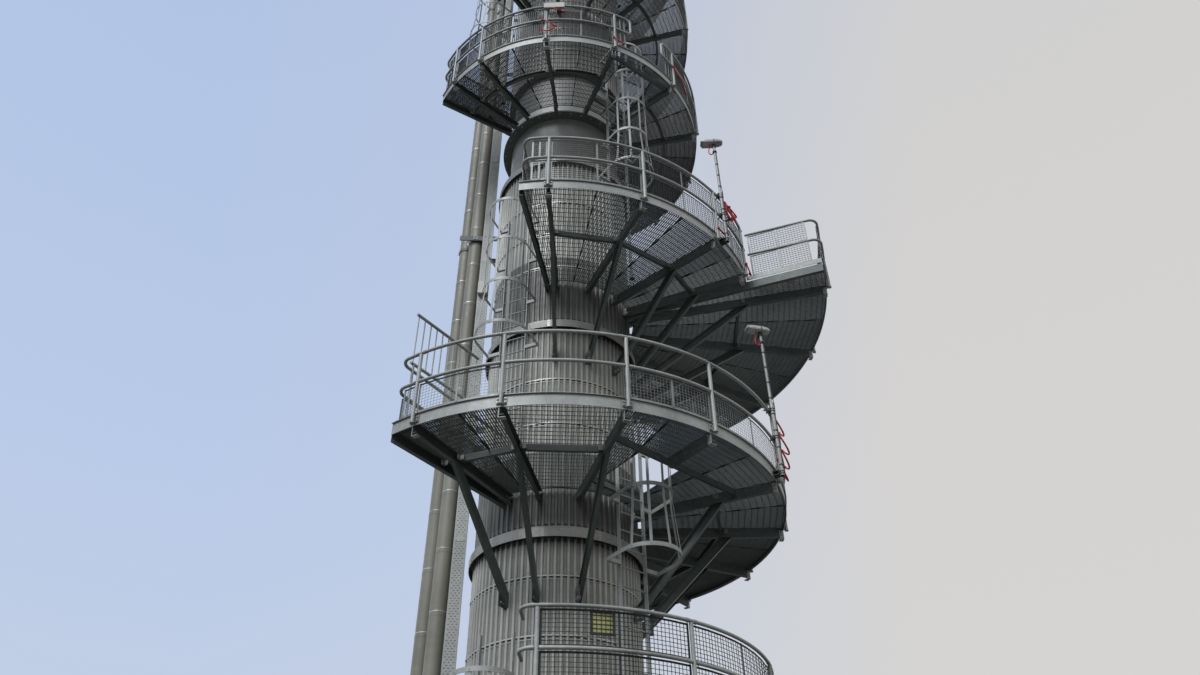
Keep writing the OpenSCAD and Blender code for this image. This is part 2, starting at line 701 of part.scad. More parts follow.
module platform_1_frame() {
  color("slategray") platform_frame(P1, true);
}
module platform_1_deck() {
  color("darkgray") platform_deck(P1);
}
module platform_1_rail() {
  color("silver") platform_rail(P1);
}
module platform_2_frame() {
  color("slategray") platform_frame(P2, true);
}
module platform_2_deck() {
  color("darkgray") platform_deck(P2);
}
module platform_2_rail() {
  color("silver") {
    platform_rail(P2);
    side_guard(P2);
  }
}
module platform_3_frame() {
  color("slategray") {
    platform_frame(P3, true);
    platform_frame(P3_WIDE, true);
  }
}
module platform_3_deck() {
  color("darkgray") {
    platform_deck(P3);
    platform_deck(P3_WIDE);
  }
}
module platform_3_rail() {
  color("silver") {
    platform_rail(P3);
    platform_rail(P3_WIDE);
  }
}
// The ring that stiffens the bare shell under platform 4
module support_ring() {
  ring_w = insulation_t + 60;
  ring_h = 40;
  quarter = 90;
  cut = seat / shell_r * 90 / PI;
  top = beam_top(P4) - beam_h - seat;
  for (i = [0 : 3])
    arc_band(shell_r + seat, shell_r + ring_w, top - ring_h, top, i * quarter + cut, (i + 1) * quarter - cut);
}

module platform_4_frame() {
  color("slategray") {
    platform_frame(P4, false);
    support_ring();
  }
}
module platform_4_deck() {
  color("darkgray") platform_deck(P4);
}
module platform_4_rail() {
  color("silver") platform_rail(P4);
}
module platform_5_frame() {
  color("slategray") platform_frame(P5, false);
}
module platform_5_deck() {
  color("darkgray") platform_deck(P5);
}
module platform_5_rail() {
  color("silver") platform_rail(P5);
}
module platform_6_frame() {
  color("slategray") platform_frame(P6, false);
}
module platform_6_deck() {
  color("darkgray") platform_deck(P6);
}
module platform_6_rail() {
  color("silver") platform_rail(P6);
}
module platform_7_frame() {
  color("slategray") platform_frame(P7, false);
}
module platform_7_deck() {
  color("darkgray") platform_deck(P7);
}
module platform_7_rail() {
  color("silver") platform_rail(P7);
}

// Ladders

// Angle from a platform's left end to the ladder that arrives beside it, so that its cage clears the edge
function beside(r) = asin((hoop_r + beam_w / 2 + 25) / r);
ladder_1_r = 2180;

// A caged ladder at angle a and radius r, from foot_z to the landing at top_z
module caged_ladder(a, r, foot_z, top_z) {
  stile = [70, 12];
  stile_h = top_z + landing_rise - foot_z;
  rungs = floor((top_z - foot_z + 1) / rung_pitch);
  hoops = floor((stile_h - cage_start - 60) / hoop_pitch);
  strap_t = 8;
  hoop_h = 60;
  rotate([0, 0, a]) translate([r, 0, foot_z]) {
    for (side = [-1, 1]) translate([-stile.x / 2, side * ladder_w / 2 - stile.y / 2, 0])
      cube([stile.x, stile.y, stile_h]);
    for (i = [1 : rungs]) translate([0, -ladder_w / 2, i * rung_pitch])
      rotate([-90, 0, 0]) cylinder(d = rung_d, h = ladder_w, $fn = 16);
    for (i = [0 : hoops]) translate([0, 0, cage_start + i * hoop_pitch])
      hoop(i == 0 ? hoop_r + cage_flare : hoop_r, strap_t, hoop_h, stile);
    for (t = [-72, -36, 0, 36, 72]) translate([hoop_r, 0, cage_start]) rotate([0, 0, t])
      cage_strap(strap_t, hoops * hoop_pitch + hoop_h);
  }
}

// How far the lowest hoop is flared out
cage_flare = 70;

// An upright strap inside the hoops, which bends out to the lowest hoop
module cage_strap(hoop_t, length) {
  w = 40;
  t = 5;
  inside = hoop_r - hoop_t - seat;
  out = sqrt(pow(inside, 2) - pow(w / 2, 2)) - seat;
  flared = sqrt(pow(inside + cage_flare, 2) - pow(w / 2, 2)) - seat;
  knee_z = hoop_pitch - 120;
  translate([0, w / 2, 0]) rotate([90, 0, 0]) linear_extrude(w) polygon([
    [flared - t, 0], [flared, 0], [flared, 70], [out, knee_z], [out, length],
    [out - t, length], [out - t, knee_z], [flared - t, 70]
  ]);
}

// A hoop in four bent lengths and two side lengths that seat on the stiles
module hoop(r, t, h, stile) {
  parts = 4;
  step = 180 / parts;
  cut = seat / r * 90 / PI;
  translate([hoop_r, 0, 0]) for (i = [0 : parts - 1])
    arc_band(r - t, r, 0, h, -90 + i * step + cut, -90 + (i + 1) * step - cut);
  for (side = [-1, 1]) translate([stile.x / 2 + seat, side > 0 ? r - t : -r, 0])
    cube([hoop_r - stile.x / 2 - 2 * seat, t, h]);
  for (side = [-1, 1]) translate([stile.x / 2 - 40, side > 0 ? ladder_w / 2 + stile.y / 2 + seat : -r, 0])
    cube([40, r - ladder_w / 2 - stile.y / 2 - seat, h]);
}

// Flat bars that tie a ladder's stiles back to the skirt
module skirt_ties(a, r, heights) {
  tie_h = 60;
  start = shell_r - 60;
  difference() {
    rotate([0, 0, a]) for (z = heights) for (side = [-1, 1])
      translate([start, side * (ladder_w / 2 + 6 + seat) - (side < 0 ? 12 : 0), z])
        cube([r - start, 12, tie_h]);
    cylinder(r = shell_r + skirt_t + 2 * seat, h = skirt_top_z, $fn = wide_fn);
  }
}

// How far ladder 1's ties lie under the access opening's middle and under the skirt's top edge
tie_under_access = 400;
tie_under_top = 600;

module ladder_1() {
  color("silver") {
    caged_ladder(from_a(P1) - beside(ladder_1_r), ladder_1_r, seat, deck_top(P1));
    skirt_ties(from_a(P1) - beside(ladder_1_r), ladder_1_r, [access_z - tie_under_access, skirt_top_z - tie_under_top]);
  }
}
module ladder_2() {
  color("silver") caged_ladder(hatch_a, ladder_r, deck_top(P1) + seat, deck_top(P2));
}
module ladder_3() {
  color("silver") caged_ladder(from_a(P3) - beside(ladder_r), ladder_r, deck_top(P2) + seat, deck_top(P3));
}
module ladder_4() {
  color("silver") caged_ladder(hatch_a, ladder_r, deck_top(P3) + seat, deck_top(P4));
}
module ladder_5() {
  color("silver") caged_ladder(from_a(P5) - beside(ladder_r), ladder_r, deck_top(P4) + seat, deck_top(P5));
}
module ladder_6() {
  color("silver") caged_ladder(hatch_a, ladder_r, deck_top(P5) + seat, deck_top(P6));
}
module ladder_7() {
  color("silver") caged_ladder(from_a(P7) - beside(ladder_r), ladder_r, deck_top(P6) + seat, deck_top(P7));
}

// Lines

// A hollow pipe along +Z
module pipe(d, length) {
  difference() {
    cylinder(d = d, h = length);
    translate([0, 0, -1]) cylinder(d = d - 2 * line_t, h = length + 2);
  }
}

// A hollow bend in the XZ plane from the origin, turning from +Z towards -X, welded of short segments
module bend(d, radius, angle) {
  step = 45;
  cut = seat / (radius - d / 2) * 90 / PI;
  translate([-radius, 0, 0]) rotate([90, 0, 0]) for (i = [0 : angle / step - 1])
    rotate([0, 0, i * step + cut]) rotate_extrude(angle = step - 2 * cut)
      translate([radius, 0]) difference() {
        circle(d = d, $fn = 48);
        circle(d = d - 2 * line_t, $fn = 48);
      }
}

// Flanges, as how far the rim stands out from the pipe, how far the bolt circle does, and the holes' radius:
// one for the nozzle, and a slim one for the lower ends, so that the two lines' flanges pass each other
nozzle_flange = [65, 40, 13];
end_flange = [35, 20, 8];

module flange(d, t, form) {
  bolts = 12;
  difference() {
    cylinder(d = d + 2 * form[0], h = t);
    translate([0, 0, -1]) cylinder(d = d - 2 * line_t, h = t + 2);
    for (i = [0 : bolts - 1]) rotate([0, 0, i * 360 / bolts]) translate([d / 2 + form[1], 0, -1])
      cylinder(r = form[2], h = t + 2, $fn = 24);
  }
}

overhead_top_z = top_tangent_z + 2 * seat + shell_r / 2 - 40 + 240 + 36;
line_flange_t = 36;

module overhead_line() {
  rise = 300;
  turn = overhead_x / 2;
  color("tan") {
    translate([0, 0, overhead_top_z]) flange(overhead_d, line_flange_t, nozzle_flange);
    translate([0, 0, overhead_top_z + line_flange_t]) pipe(overhead_d, rise);
    translate([0, 0, overhead_top_z + line_flange_t + rise]) bend(overhead_d, turn, 180);
    translate([-overhead_x, 0, line_end_z + line_flange_t])
      pipe(overhead_d, overhead_top_z + rise - line_end_z);
    translate([-overhead_x, 0, line_end_z]) flange(overhead_d, line_flange_t, end_flange);
  }
}

// Where the relief line leaves the shell, how far off the axis it runs down, and how much higher it
// ends than the overhead line
relief_end_rise = 800;
relief_x = 1990;
relief_y = 280;
relief_z = 27600;

module relief_line() {
  turn = 420;
  end_z = line_end_z + relief_end_rise;
  color("tan") {
    difference() {
      translate([-shell_r + 100, relief_y, relief_z]) rotate([0, -90, 0])
        pipe(relief_d, relief_x - turn - shell_r + 100);
      translate([0, 0, relief_z - relief_d]) cylinder(r = shell_r + seat, h = 2 * relief_d, $fn = wide_fn);
    }
    translate([-relief_x, relief_y, relief_z - turn]) mirror([1, 0, 0]) bend(relief_d, turn, 90);
    translate([-relief_x, relief_y, end_z + line_flange_t])
      pipe(relief_d, relief_z - turn - end_z - line_flange_t);
    translate([-relief_x, relief_y, end_z]) flange(relief_d, line_flange_t, end_flange);
  }
}

// Brackets that reach out from the shell and clamp both lines
support_levels = [5200, 10000, 14600, 20200, 23600, 28700];
support_arm_t = 20;
support_arm_h = 120;
support_y = [-overhead_d / 2 - 30, relief_y + relief_d / 2 + 60];

module support_arm(y, z, clear) {
  tip = relief_x + 100;
  translate([-tip, y - support_arm_t - clear, z - clear])
    cube([tip - sqrt(pow(shell_r, 2) - pow(y, 2)) + 40, support_arm_t + 2 * clear, support_arm_h + 2 * clear]);
}

module line_supports() {
  ring_t = 12;
  lug_in = 1;
  color("slategray") for (z = support_levels) {
    difference() {
      for (y = support_y) support_arm(y, z, 0);
      translate([0, 0, z - 1]) cylinder(r = shell_r + seat, h = support_arm_h + 2, $fn = wide_fn);
    }
    translate([-overhead_x, 0, z + 20]) clamp(overhead_d, ring_t, support_y[0] - lug_in);
    translate([-relief_x, relief_y, z + 20])
      clamp(relief_d, ring_t, support_y[1] - support_arm_t + lug_in - relief_y);
  }
}

// A clamp ring with a lug that reaches to its bracket arm
module clamp(d, t, reach) {
  difference() {
    union() {
      cylinder(r = d / 2 + seat + t, h = 80);
      translate([-40, min(reach, 0), 0]) cube([80, abs(reach), 80]);
    }
    translate([0, 0, -1]) cylinder(r = d / 2 + seat, h = 82);
  }
}

// Manways on the shell over the platforms, each with a bolted blind cover: platform and angle
manway_d = 620;
MANWAYS = [[P1, 33], [P2, 35], [P3_WIDE, 17], [P4, 27], [P5, 46], [P6, 27]];
function manway_z(m) = deck_top(m[0]) + 900;

module manways() {
  neck_end = crest_r + 120;
  flange_t = 50;
  flange_w = manway_d + 180;
  color("gray") for (m = MANWAYS) rotate([0, 0, m[1]]) {
    difference() {
      translate([shell_r - 100, 0, manway_z(m)]) rotate([0, 90, 0])
        cylinder(d = manway_d, h = neck_end - shell_r + 100);
      cylinder(r = shell_r + seat, h = top_tangent_z);
    }
    translate([neck_end - 1, 0, manway_z(m)]) rotate([0, 90, 0]) cylinder(d = flange_w, h = flange_t);
    translate([neck_end + flange_t - 1 + seat, 0, manway_z(m)]) rotate([0, 90, 0])
      cylinder(d = flange_w, h = flange_t);
  }
}

// An upright channel that carries cables, on small brackets
module cable_tray() {
  w = 200;
  depth = 60;
  x = -1520;
  y = support_y[0] - support_arm_t - seat - depth / 2;
  color("silver") translate([x, y, line_end_z]) linear_extrude(p6_z - line_end_z) polygon([
    [-w / 2, -depth / 2], [w / 2, -depth / 2], [w / 2, depth / 2], [w / 2 - 4, depth / 2],
    [w / 2 - 4, -depth / 2 + 4], [-w / 2 + 4, -depth / 2 + 4], [-w / 2 + 4, depth / 2],
    [-w / 2, depth / 2]
  ]);
}

// Height of a lamp pole
lamp_h = 2700;

// Lamps on poles clipped to the rim
module lamp_post(p, a, h) {
  r = outer(p) + post_d / 2 + 27 + 70;
  rotate([0, 0, a]) {
    translate([r, 0, level(p) + 20]) cylinder(d = 60, h = h, $fn = 24);
    translate([outer(p) + seat, -50, level(p) + 40]) cube([r - outer(p), 100, 60]);
    translate([r - 250, -90, level(p) + h + 20 + seat]) cube([420, 180, 90]);
  }
}

module lamp_posts() {
  color("lightgray") {
    lamp_post(P2, -29.5, lamp_h);
    lamp_post(P3, -41.5, lamp_h - 150);
  }
}

base_ring();
anchor_chairs();
skirt();
skirt_access();
bottom_head();
shell();
top_head();
shell_clips();
cladding_1();
cladding_2();
cladding_3();
cladding_4();
cladding_5();
flashings();
platform_1_frame();
platform_1_deck();
platform_1_rail();
platform_2_frame();
platform_2_deck();
platform_2_rail();
platform_3_frame();
platform_3_deck();
platform_3_rail();
platform_4_frame();
platform_4_deck();
platform_4_rail();
platform_5_frame();
platform_5_deck();
platform_5_rail();
platform_6_frame();
platform_6_deck();
platform_6_rail();
platform_7_frame();
platform_7_deck();
platform_7_rail();
ladder_1();
ladder_2();
ladder_3();
ladder_4();
ladder_5();
ladder_6();
ladder_7();
overhead_line();
relief_line();
line_supports();
manways();
cable_tray();
lamp_posts();
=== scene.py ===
import json
import math

import bpy
from mathutils import Matrix, Vector


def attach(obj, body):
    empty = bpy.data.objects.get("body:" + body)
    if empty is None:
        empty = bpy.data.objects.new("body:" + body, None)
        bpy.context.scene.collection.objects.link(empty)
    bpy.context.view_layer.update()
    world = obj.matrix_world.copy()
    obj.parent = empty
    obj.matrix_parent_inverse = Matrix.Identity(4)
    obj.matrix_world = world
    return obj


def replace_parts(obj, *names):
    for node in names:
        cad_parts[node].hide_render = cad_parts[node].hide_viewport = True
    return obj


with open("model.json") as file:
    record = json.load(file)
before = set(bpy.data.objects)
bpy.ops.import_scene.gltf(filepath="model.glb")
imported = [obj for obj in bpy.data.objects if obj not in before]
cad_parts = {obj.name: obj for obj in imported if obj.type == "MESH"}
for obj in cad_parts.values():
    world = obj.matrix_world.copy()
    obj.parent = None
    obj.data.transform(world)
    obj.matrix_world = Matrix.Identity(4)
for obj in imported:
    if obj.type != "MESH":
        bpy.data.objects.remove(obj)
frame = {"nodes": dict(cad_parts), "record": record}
scene = bpy.context.scene
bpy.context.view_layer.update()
UP = Vector((0, 0, 1))
SIDES = (-1, 1)


# Sizes of the solids, in metres and degrees
def platform(z, r, posts, left, right, end=True, hatch=False):
    """A deck's underside, radius and posts, how far it goes on past them, and if its right end stands free."""
    return dict(z=z, r=r, posts=posts, left=left, right=right, end=end, hatch=hatch)


HATCH_POSTS = [-141, -126, -98, -71, -41, -14, 13, 40, 62]
PLATFORMS = {
    "platform_1": platform(4.58, 3.05, [-94, -58, -21, 15, 51, 86], 4, 4),
    "platform_2": platform(8.23, 3.65, [-122, -102, -76, -55, -27, -2, 23, 48, 71], 6, 6, hatch=True),
    "platform_3": platform(12.42, 3.61, [-94, -69, -44, -27], 7, 4, end=False),
    "platform_3w": platform(12.42, 4.97, [-16, 6, 28, 50], 7, 7),
    "platform_4": platform(17.49, 2.96, HATCH_POSTS, 10, 8, hatch=True),
    "platform_5": platform(21.30, 3.03, [-123, -98, -71, -44, -17, 10, 37, 62], 5, 5),
    "platform_6": platform(25.40, 2.96, HATCH_POSTS, 10, 8, hatch=True),
    "platform_7": platform(29.80, 2.96, [-123, -98, -71, -44, -17, 10, 37, 64, 91, 118, 146], 5, 5),
}
LOWER = ("platform_1", "platform_2", "platform_3")
SEAT = 0.0003
SHELL_R, CREST_R = 1.17, 1.30
VALLEY_R, FLASH_R, FLASH_H = CREST_R - 0.018, CREST_R + 0.07, 0.19
RIBS = 84
STEP = 360 / RIBS
DECK_OVER, GRATING_T = 0.08, 0.032
HATCH_A, HATCH_HALF, HATCH_IN = -56, 0.41, 1.73
RAIL_TOP, RAIL_MID, TOE_H, TUBE_R = 1.18, 0.68, 0.18, 0.027
LADDER_R, CAGE_R, CAGE_T = 1.88, 0.38, 0.06
LANDING_R = LADDER_R + 2 * CAGE_R + CAGE_T


def edges(p):
    """A platform's two ends and the posts between them."""
    return [p["posts"][0] - p["left"]] + p["posts"] + [p["posts"][-1] + p["right"]]


def rail_r(p):
    return p["r"] + 2 * TUBE_R + SEAT


def cyl(r, a, z):
    t = math.radians(a)
    return Vector((r * math.cos(t), r * math.sin(t), z))


def radial(a):
    return cyl(1, a, 0)


def tangent(a):
    t = math.radians(a)
    return Vector((-math.sin(t), math.cos(t), 0))


def split(a, b, n):
    """The n equal stretches from a to b."""
    cuts = [a + (b - a) * i / n for i in range(n + 1)]
    return list(zip(cuts, cuts[1:]))


# Materials
def lin(r, g, b):
    """Linear colour from an 8-bit display colour."""
    def f(c):
        c /= 255
        return c / 12.92 if c <= 0.04045 else ((c + 0.055) / 1.055) ** 2.4
    return (f(r), f(g), f(b))


def feed(nt, sock, val):
    """Link a socket to another, or set it to a number, a vector or a colour."""
    if isinstance(val, bpy.types.NodeSocket):
        nt.links.new(val, sock)
    else:
        sock.default_value = (*val, 1) if sock.type == "RGBA" else val


def node(nt, kind, **values):
    """A node with its inputs, and its properties under names that start with _."""
    n = nt.nodes.new(kind)
    for k, v in values.items():
        if k[0] == "_":
            setattr(n, k[1:], v)
        else:
            feed(nt, n.inputs[k.replace("_", " ")], v)
    return n


def calc(nt, operation, *values):
    n = node(nt, "ShaderNodeMath", _operation=operation)
    for sock, val in zip(n.inputs, values):
        feed(nt, sock, val)
    return n.outputs[0]


def ramp(nt, fac, *stops):
    """A colour ramp whose stops are a place and a grey level or a linear colour."""
    r = node(nt, "ShaderNodeValToRGB", Fac=fac)
    e = r.color_ramp.elements
    while len(e) < len(stops):
        e.new(0.5)
    for s, (place, c) in zip(e, stops):
        s.position = place
        s.color = (*c, 1) if isinstance(c, tuple) else (c, c, c, 1)
    return r.outputs[0]


def mix(nt, a, b, fac, blend="MIX"):
    m = node(nt, "ShaderNodeMix", _data_type="RGBA", _blend_type=blend)
    for i, val in ((0, fac), (6, a), (7, b)):
        feed(nt, m.inputs[i], val)
    return m.outputs[2]


def mix_shaders(nt, fac, a, b, out):
    m = node(nt, "ShaderNodeMixShader")
    for sock, val in zip(m.inputs, (fac, a.outputs[0], b.outputs[0])):
        feed(nt, sock, val)
    feed(nt, out.inputs[0], m.outputs[0])


def noise(nt, vec, scale, detail=4, rough=0.6, stretch=None):
    if stretch:
        vec = node(nt, "ShaderNodeMapping", Vector=vec, Scale=stretch).outputs[0]
    return node(nt, "ShaderNodeTexNoise", Vector=vec, Scale=scale, Detail=detail, Roughness=rough).outputs["Fac"]


def new_mat(name):
    """A material in M, its node tree, its shader and the place on the object."""
    M[name] = bpy.data.materials.new(name)
    M[name].use_nodes = True
    nt = M[name].node_tree
    nt.nodes.clear()
    b = node(nt, "ShaderNodeBsdfPrincipled")
    node(nt, "ShaderNodeOutputMaterial", Surface=b.outputs[0])
    return nt, b, node(nt, "ShaderNodeTexCoord").outputs["Object"]


def surface(nt, b, colour, metal, rough, height, strength, distance):
    """Set what the shader shows, with height as its bump."""
    relief = node(nt, "ShaderNodeBump", Strength=strength, Distance=distance, Height=height).outputs[0]
    for k, v in (("Base Color", colour), ("Metallic", metal), ("Roughness", rough), ("Normal", relief)):
        feed(nt, b.inputs[k], v)


M = {}
# the dark brown of the run-down stains, also used for the painted shade in hollows
STAIN_AND_SHADE = (0.10, 0.085, 0.06)


def steel(name, base, dark, light, rough, metal=0.0, hollow_shade=0.0, streak=0.0, spangle=0.0, scale=1.0):
    """A weathered metal: broad tone changes, fine mottling, run-down streaks, and painted shade in the hollows.
    """
    nt, b, pos = new_mat(name)
    fine = noise(nt, pos, 14 * scale, 5, 0.65)
    col = mix(nt, lin(*dark), lin(*base), ramp(nt, noise(nt, pos, 0.9 * scale, 3, 0.55), (0.32, 0), (0.58, 1)))
    col = mix(nt, col, lin(*light), ramp(nt, fine, (0.52, 0), (0.74, 0.55)))
    if spangle:
        cells = node(nt, "ShaderNodeTexVoronoi", Vector=pos, Scale=55 * scale)
        col = mix(nt, col, mix(nt, col, cells.outputs["Color"], 1.0, "MULTIPLY"), spangle)
    if streak:
        run = noise(nt, pos, 5.0, 5, 0.7, (1.6, 1.6, 0.08))
        col = mix(nt, col, STAIN_AND_SHADE, ramp(nt, run, (0.55, 0), (0.78, streak)))
    # painted shade: darker in the hollows, where the ambient occlusion finds them
    if hollow_shade:
        ao = node(nt, "ShaderNodeAmbientOcclusion", Distance=0.06 / scale, _samples=2)
        col = mix(nt, col, STAIN_AND_SHADE, ramp(nt, ao.outputs["AO"], (0.35, hollow_shade), (0.85, 0)))
    rough = ramp(nt, fine, (0.3, rough - 0.08), (0.7, rough + 0.1))
    surface(nt, b, col, metal, rough, noise(nt, pos, 90 * scale, 3, 0.6), 0.25, 0.0008)


# Bands of painted shade on the cladding, under the decks and flashings and just above two decks: upper edge, how
# far down it reaches, and how far up from there it fades in
SHADE_BANDS = (
    (4.63, 0.6, 0.6), (7.53, 0.3, 0.3), (8.28, 0.95, 0.5), (8.95, 0.7, 0.01), (11.45, 0.4, 0.4),
    (12.47, 1.3, 0.8), (13.1, 0.65, 0.01), (17.5, 0.9, 0.9), (21.35, 0.9, 0.9), (25.45, 0.9, 0.9),
    (29.85, 0.9, 0.9),
)


def cladding(name, base, dark, light, metal=0.15, painted_shade=True):
    """Sheet metal with run-down stains, and painted shade in its hollows and joints. Unless told not to, it also
    gets painted shade in its valleys and in bands under the decks and flashings.
    """
    nt, b, pos = new_mat(name)
    fine = noise(nt, pos, 9, 5, 0.65)
    run = noise(nt, pos, 6.0, 5, 0.7, (2.2, 2.2, 0.06))
    col = mix(nt, lin(*dark), lin(*base), ramp(nt, noise(nt, pos, 0.8, 3, 0.55), (0.3, 0), (0.6, 1)))
    col = mix(nt, col, lin(*light), ramp(nt, fine, (0.5, 0), (0.75, 0.5)))
    col = mix(nt, col, lin(96, 92, 82), ramp(nt, run, (0.52, 0), (0.8, 0.6)))
    if painted_shade:
        # painted shade: the sheet is darker in the valleys between the ribs, by how far below the crests it lies
        flat = node(nt, "ShaderNodeVectorMath", _operation="MULTIPLY")
        for sock, val in zip(flat.inputs, (pos, (1, 1, 0))):
            feed(nt, sock, val)
        off_axis = node(nt, "ShaderNodeVectorMath", _operation="LENGTH", Vector=flat.outputs[0]).outputs["Value"]
        deep = node(nt, "ShaderNodeMapRange", Value=off_axis, From_Min=1.300, From_Max=1.284).outputs[0]
        valley_shade = calc(nt, "MULTIPLY", deep, ramp(nt, fine, (0.3, 0.35), (0.7, 0.6)))
        col = mix(nt, col, lin(84, 84, 79), valley_shade)
        # painted shade in the bands listed above, broken up by the streak noise
        z = node(nt, "ShaderNodeSeparateXYZ", Vector=pos).outputs[2]
        shade_band = 0.0
        for top, reach, fade in SHADE_BANDS:
            low = top - reach
            edge = node(nt, "ShaderNodeMapRange", Value=z, From_Min=low, From_Max=low + fade).outputs[0]
            shade_band = calc(nt, "MAXIMUM", shade_band, calc(nt, "MULTIPLY", edge, calc(nt, "LESS_THAN", z, top + 0.02)))
        col = mix(nt, col, lin(44, 47, 46), calc(nt, "MULTIPLY", shade_band, ramp(nt, run, (0.2, 0.45), (0.7, 0.95))))
    # painted shade: darker in the hollows and at joints, where the ambient occlusion finds them
    ao = node(nt, "ShaderNodeAmbientOcclusion", Distance=0.05, _samples=2)
    col = mix(nt, col, lin(52, 52, 48), ramp(nt, ao.outputs["AO"], (0.3, 0.75), (0.8, 0)))
    rough = ramp(nt, fine, (0.3, 0.42), (0.7, 0.6))
    surface(nt, b, col, metal, rough, noise(nt, pos, 5, 3, 0.6, (1, 1, 0.5)), 0.35, 0.01)


steel("galvanised", (172, 176, 174), (140, 145, 144), (202, 205, 203), 0.5, 0.2, 0.45, streak=0.25, spangle=0.18)
steel("frame_steel", (90, 99, 97), (70, 78, 77), (120, 128, 125), 0.5, 0.05, 0.5, streak=0.3)
steel("grating", (62, 68, 67), (46, 52, 51), (86, 92, 90), 0.55, 0.1)
# a darker copy of the grating for the upper decks, as painted shade
steel("grating_upper_shaded", (54, 59, 59), (38, 43, 43), (80, 86, 85), 0.6, 0.05)
steel("shell_paint", (140, 142, 140), (118, 121, 120), (156, 158, 155), 0.45, 0.0, 0.45, streak=0.4)
steel("primer_steel", (122, 124, 121), (98, 101, 99), (140, 142, 138), 0.6, 0.0, 0.6, streak=0.5)
steel("lamp_grey", (186, 189, 187), (160, 164, 163), (205, 207, 205), 0.45, 0.1, 0.5)
steel("flashing_sheet", (164, 165, 160), (130, 131, 127), (188, 189, 184), 0.45, 0.25, 0.5, streak=0.5)
cladding("cladding", (186, 188, 181), (152, 154, 149), (206, 208, 201))
# a darker copy of the cladding for the upper lengths, as painted shade
cladding("cladding_upper_shaded", (146, 148, 143), (116, 118, 114), (168, 170, 165))
cladding("pipe_cladding", (134, 134, 124), (116, 115, 106), (148, 147, 137), metal=0.0, painted_shade=False)
# near black for dark blocks of painted shade in the valleys at the laps and flashings, and in the tray's slots
steel("gap_shade", (40, 40, 38), (28, 28, 28), (54, 54, 51), 0.7)
steel("red_cable", (196, 42, 50), (160, 32, 40), (216, 70, 74), 0.5)
steel("black_cable", (46, 47, 47), (34, 35, 35), (64, 65, 65), 0.55)
steel("yellow_paint", (176, 178, 120), (150, 152, 100), (196, 198, 142), 0.5, 0.0, 0.4)
steel("lamp_lens", (214, 218, 216), (198, 202, 200), (226, 228, 226), 0.25, 0.0, 0.2)
steel("mesh_black", (36, 38, 38), (24, 26, 26), (54, 56, 55), 0.55)
steel("mesh_zinc", (140, 144, 143), (112, 116, 115), (168, 171, 170), 0.45, 0.25)
steel("bolt_zinc", (170, 172, 169), (128, 130, 127), (200, 202, 199), 0.4, 0.3, streak=0.3, scale=4.0)
steel("strap_steel", (186, 187, 182), (150, 151, 147), (212, 213, 208), 0.35, 0.35, 0.4)
steel("box_grey", (198, 200, 196), (172, 174, 170), (214, 216, 212), 0.45, 0.0, 0.5, streak=0.4)
steel("pale_floor", (206, 206, 203), (200, 200, 197), (212, 212, 209), 0.8)

SLOT_OF = {r["node"]: r["material_slot"] for r in frame["record"]["subparts"]}
for name, obj in frame["nodes"].items():
    obj.data.materials.clear()
    obj.data.materials.append(M["cladding_upper_shaded" if name in ("cladding_4", "cladding_5") else SLOT_OF[name]])


# Mesh helpers
def skin(rows, k, closed=False, first=True, last=True):
    """The faces that join rows of k points each, and cap the first and the last row."""
    f = []
    for i in range(rows if closed else rows - 1):
        a, b = i * k, (i + 1) % rows * k
        f += [(a + j, a + (j + 1) % k, b + (j + 1) % k, b + j) for j in range(k)]
    if first:
        f.append(tuple(reversed(range(k))))
    if last:
        f.append(tuple(range((rows - 1) * k, rows * k)))
    return f


def across(d):
    """A direction square to d."""
    return d.cross(UP if abs(d.z) < 0.9 else Vector((1, 0, 0))).normalized()


def around(c, s, u, r, n):
    """n points on a circle round c, in the plane of s and u."""
    return [c + s * (r * math.cos(t)) + u * (r * math.sin(t)) for t in [2 * math.pi * k / n for k in range(n)]]


